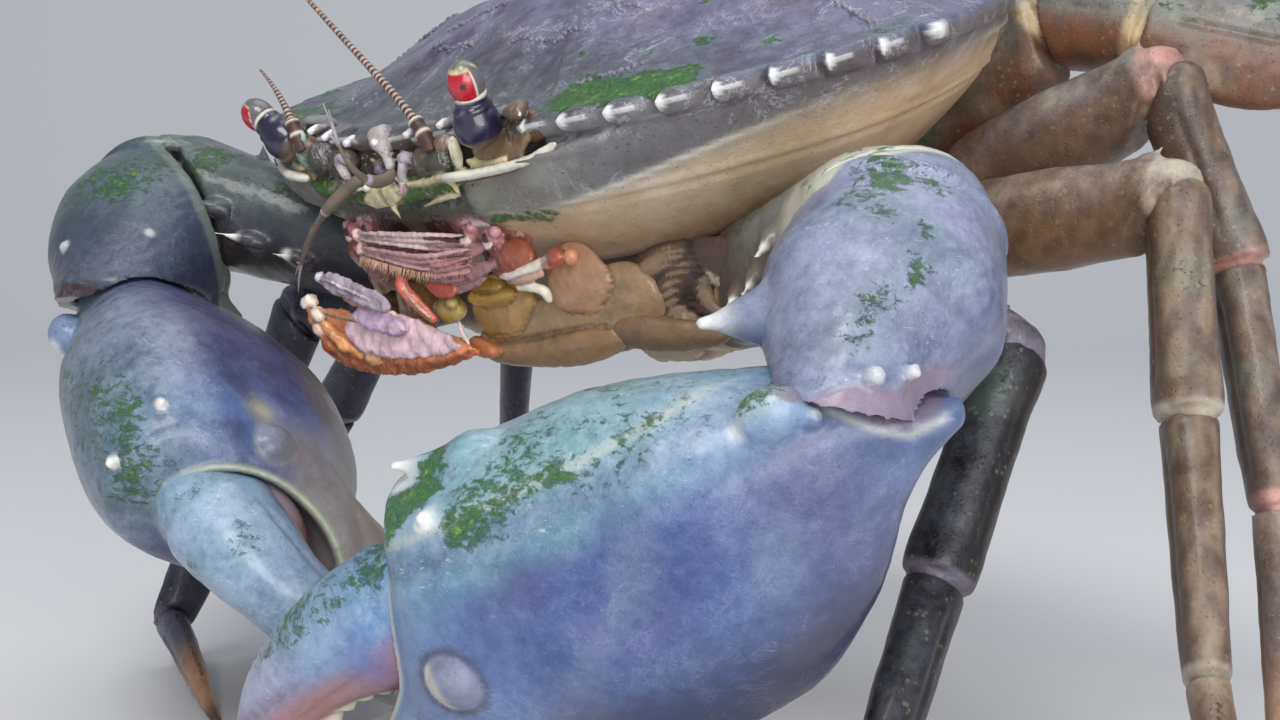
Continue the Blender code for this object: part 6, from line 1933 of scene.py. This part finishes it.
def maxilliped_right():
    """The right outer jaw, swung open to the front: an orange blade with a pale film and white tips."""
    orange, film, white = "D88456", "DEBEC6", "F0DECC"
    parts = [
        (leaf(1, "-24.5 -8 -34.5 3, -18 -6.6 -39.5 5.4, -8 -3.6 -42.4 5.2, " "4 0.6 -43 3.8, 15 4.4 -43.4 1.4", 1.4,
         (0.42, -0.86, 0.28), rows=60), orange),
        (leaf(1, "-14 -7.4 -36.4 3.2, -6 -4.8 -38.4 5, 3 -1.6 -40.2 4, 12.5 2.4 -42.2 1.2", 0.8, (0.42, -0.86, 0.28),
         rows=50), film),
        (leaf(1, "-10 -7.2 -34 1.4, -4 -5 -35.8 2.2, 2 -2.8 -38 1.4", 0.8, (0.42, -0.86, 0.4)), "C4AAC4"),
        (cord_of(1, "-25.6 -8.2 -32.6 1.1, -24.2 -8.4 -36.8 1.7, -20.4 -7.8 -41.2 1.9, "
         "-12.8 -5.8 -45.4 1.7, -1.5 -1.8 -46.6 1.5, 8 2 -45.4 1.2, 15.5 4.6 -43.8 0.8", 16, 70),
         "D47848"),
        (cord_of(1, "-21.5 -8.8 -35.4 0.8, -17.6 -8.4 -39 1.3, -11.6 -6.6 -42.6 1.3, -4.5 -4 -43.6 0.7", 14, 50),
         "E69C68"),
        (bulb((-25.8, -8.4, -31.8), (2.3, 1.7, 1.5)), white),
        (bulb((-22.0, -9.0, -34.2), (2.5, 1.6, 1.6)), white),
        (bulb((-22.4, -9.0, -37.0), (2.2, 1.6, 1.9)), "EED0B8"),
        (bulb((-8.4, -6.0, -43.4), (2.6, 1.5, 1.6)), "ECB074"),
        (leaf(1, "-17 -8.4 -26.4 1.5, -11.5 -8 -27.8 2.2, -5 -7 -29.6 2, 1.5 -4.6 -33 2.2", 0.7, (0.4, -0.88, 0.2),
         rows=60), "A496A6"),
        (bulb((-17.2, -8.4, -26.2), (1.5, 1.1, 1.2)), "CEC8DC"),
        (cord_of(1, "-16 -9 -26.2 0.2, -11 -8.7 -27.4 0.4, -5 -7.8 -29.2 0.4, 0 -5.8 -32 0.2", 8), "CEBEC4"),
        (leaf(1, "-12.5 -7.2 -29.6 1.2, -8 -6.4 -30.8 1.8, -3.5 -4.8 -32.4 1.4", 1.0, (0.4, -0.88, 0.2)), "B08C7A"),
        (leaf(1, "-8 11 -37.4 3, -14 10.4 -38.6 5.4, -21 11.4 -38.4 5.8, -27.5 13.6 -37.6 3.4", 1.8,
         (-0.32, -0.94, 0.0), rows=80, blunt=0.28), "B68A5A"),
        (leaf(1, "-33 14.8 -28.6 4, -37.5 15.2 -31.4 6.6, -40.5 15.8 -34.6 6.6, -41 17.2 -38 3.6", 1.9,
         (-0.42, -0.9, 0.1), rows=80, blunt=0.22), "B28662"),
        (leaf(1, "-6 8 -44.6 2.6, -18 9 -46 4.4, -32 13 -45.6 4.4, -45 18 -43.4 3", 3.2, (-0.3, -0.9, -0.2), rows=50),
         "B08A60"),
        (leaf(1, "0 4.4 -44.6 2.2, -8 3 -45 3.4, -16 1 -44.4 2.8", 2.4, (0.1, -0.9, -0.3)), "BE7650"),
    ]
    return group("maxilliped_right_blade", parts, JAW, "jaw_shell", "maxilliped_right", uneven=0.36, size=1.5,
                 mottle=0.26, voxel=0.36, rounds=2)


def jaw_fringes():
    """The short pale bristles that edge the palps and the open jaw."""
    for name, node, line, way, count, long in (
            ("mouthparts_left_fringe", "mouthparts_left",
             [(-13, -0.6, -24.0), (-2, -1.2, -25.0), (10, -0.4, -26.6), (21, 3.6, -26.6)], (0.1, -0.5, -0.8), 170,
              1.9),
            ("mouthparts_right_fringe", "mouthparts_right", [(-8, 2.0, -28.6), (-15, 2.4, -28.8), (-22, 5.0, -28.0)],
             (-0.1, -0.5, -0.8), 60, 1.9),
            ("maxilliped_right_fringe", "maxilliped_right",
             [(-22, -8.6, -34.0), (-14, -8.0, -35.2), (-6, -6.0, -36.4), (3, -3.0, -38.8)], (-0.1, -0.5, 0.8), 120,
              1.7),
            ("maxilliped_left_fringe", "maxilliped_left", [(10, 8.6, -31.0), (17, 8.0, -29.6), (24, 8.6, -30.4)],
             (0.0, -0.5, 0.8), 70, 1.3)):
        roots, ways = fringe(line, [way] * len(line), count, 0.16, 50)
        planted(name, BRISTLES, trunk(roots), ways @ TILT.T, (long, 0.24), "C49E84", "jaw_shell", node, BRISTLE)


for side in ("left", "right"):
    cheek_and_palps(side)
    arm_folds(side)
jaw_fringes()
maxilliped_left()
maxilliped_right()


# ---------------------------------------------------------------- floor, light and camera

FOCAL_LENGTH, SENSOR_WIDTH = 56.25, 36.0
CAMERA_OFFSET = np.array([348.9, -182.1, -7.9])  # from the middle of the front margin, in millimetres
CAMERA_BACK, CAMERA_RIGHT = np.array([0.8121, -0.5766, 0.0898]), np.array([0.5790, 0.8153, 0.0])
FLOOR_WAY, FLOOR_SIDE = np.array([-0.8155, 0.5790, 0.0]), np.array([0.5790, 0.8155, 0.0])


def studio():
    """A pale floor that curves up behind."""
    base = Paint("studio_paper")
    grain = base.noise(900, 4)
    colour = base.layer(rgba("D8D9DB"), rgba("E0E1E3"), grain)
    base.tree.links.new(colour, base.shader.inputs["Base Color"])
    base.shader.inputs["Roughness"].default_value = 0.75
    mesh = bpy.data.meshes.new("studio_floor")
    profile = [(-2.5, 0.0), (0.9, 0.0)]
    profile += [(0.9 + 0.7 * math.sin(t), 0.7 - 0.7 * math.cos(t)) for t in np.radians(np.linspace(6, 90, 15))]
    profile += [(1.6, 3.2)]
    corners, faces = [], []
    for along, high in profile:
        for reach in (-4.0, 4.0):
            corners.append(tuple(FLOOR_WAY * along + FLOOR_SIDE * reach + UP * high))
    for k in range(len(profile) - 1):
        faces.append((2 * k, 2 * k + 1, 2 * k + 3, 2 * k + 2))
    mesh.from_pydata(corners, [], faces)
    mesh.polygons.foreach_set("use_smooth", np.ones(len(mesh.polygons), bool))
    mesh.materials.append(base.material)
    floor = bpy.data.objects.new("studio_floor", mesh)
    bpy.context.scene.collection.objects.link(floor)


def soft_light(name, spot, aim, power, size, colour=(1, 1, 1)):
    lamp = bpy.data.lights.new(name, "AREA")
    lamp.energy = power
    lamp.shape = "DISK"
    lamp.size = size
    lamp.color = colour
    holder = bpy.data.objects.new(name, lamp)
    holder.location = spot
    holder.rotation_euler = (Vector(aim) - Vector(spot)).to_track_quat("-Z", "Y").to_euler()
    bpy.context.scene.collection.objects.link(holder)


def camera():
    lens = bpy.data.cameras.new("camera")
    lens.lens = FOCAL_LENGTH
    lens.sensor_width = SENSOR_WIDTH
    lens.clip_start = 0.005
    holder = bpy.data.objects.new("camera", lens)
    spot = (STAND + CAMERA_OFFSET) * MM
    back, right = unit(CAMERA_BACK), unit(CAMERA_RIGHT)
    rise = np.cross(back, right)
    turn = Matrix(np.column_stack([right, rise, back]).tolist())
    holder.matrix_world = Matrix.Translation(spot) @ turn.to_4x4()
    bpy.context.scene.collection.objects.link(holder)
    bpy.context.scene.camera = holder


studio()
soft_light("key", (0.45, -0.65, 1.15), (0.0, 0.0, 0.06), 9, 0.6, (1.0, 0.98, 0.95))
soft_light("sky", (-0.2, 0.3, 1.5), (0.0, 0.0, 0.06), 5.5, 1.2, (0.93, 0.96, 1.0))
soft_light("fill", (1.1, -0.35, 0.16), (0.0, 0.0, 0.08), 12, 0.9, (1.0, 0.98, 0.96))
camera()
world = bpy.data.worlds.new("room")
world.use_nodes = True
world.node_tree.nodes["Background"].inputs["Color"].default_value = (0.80, 0.85, 0.95, 1)
world.node_tree.nodes["Background"].inputs["Strength"].default_value = 0.35
bpy.context.scene.world = world
bpy.context.scene.view_settings.view_transform = "Standard"
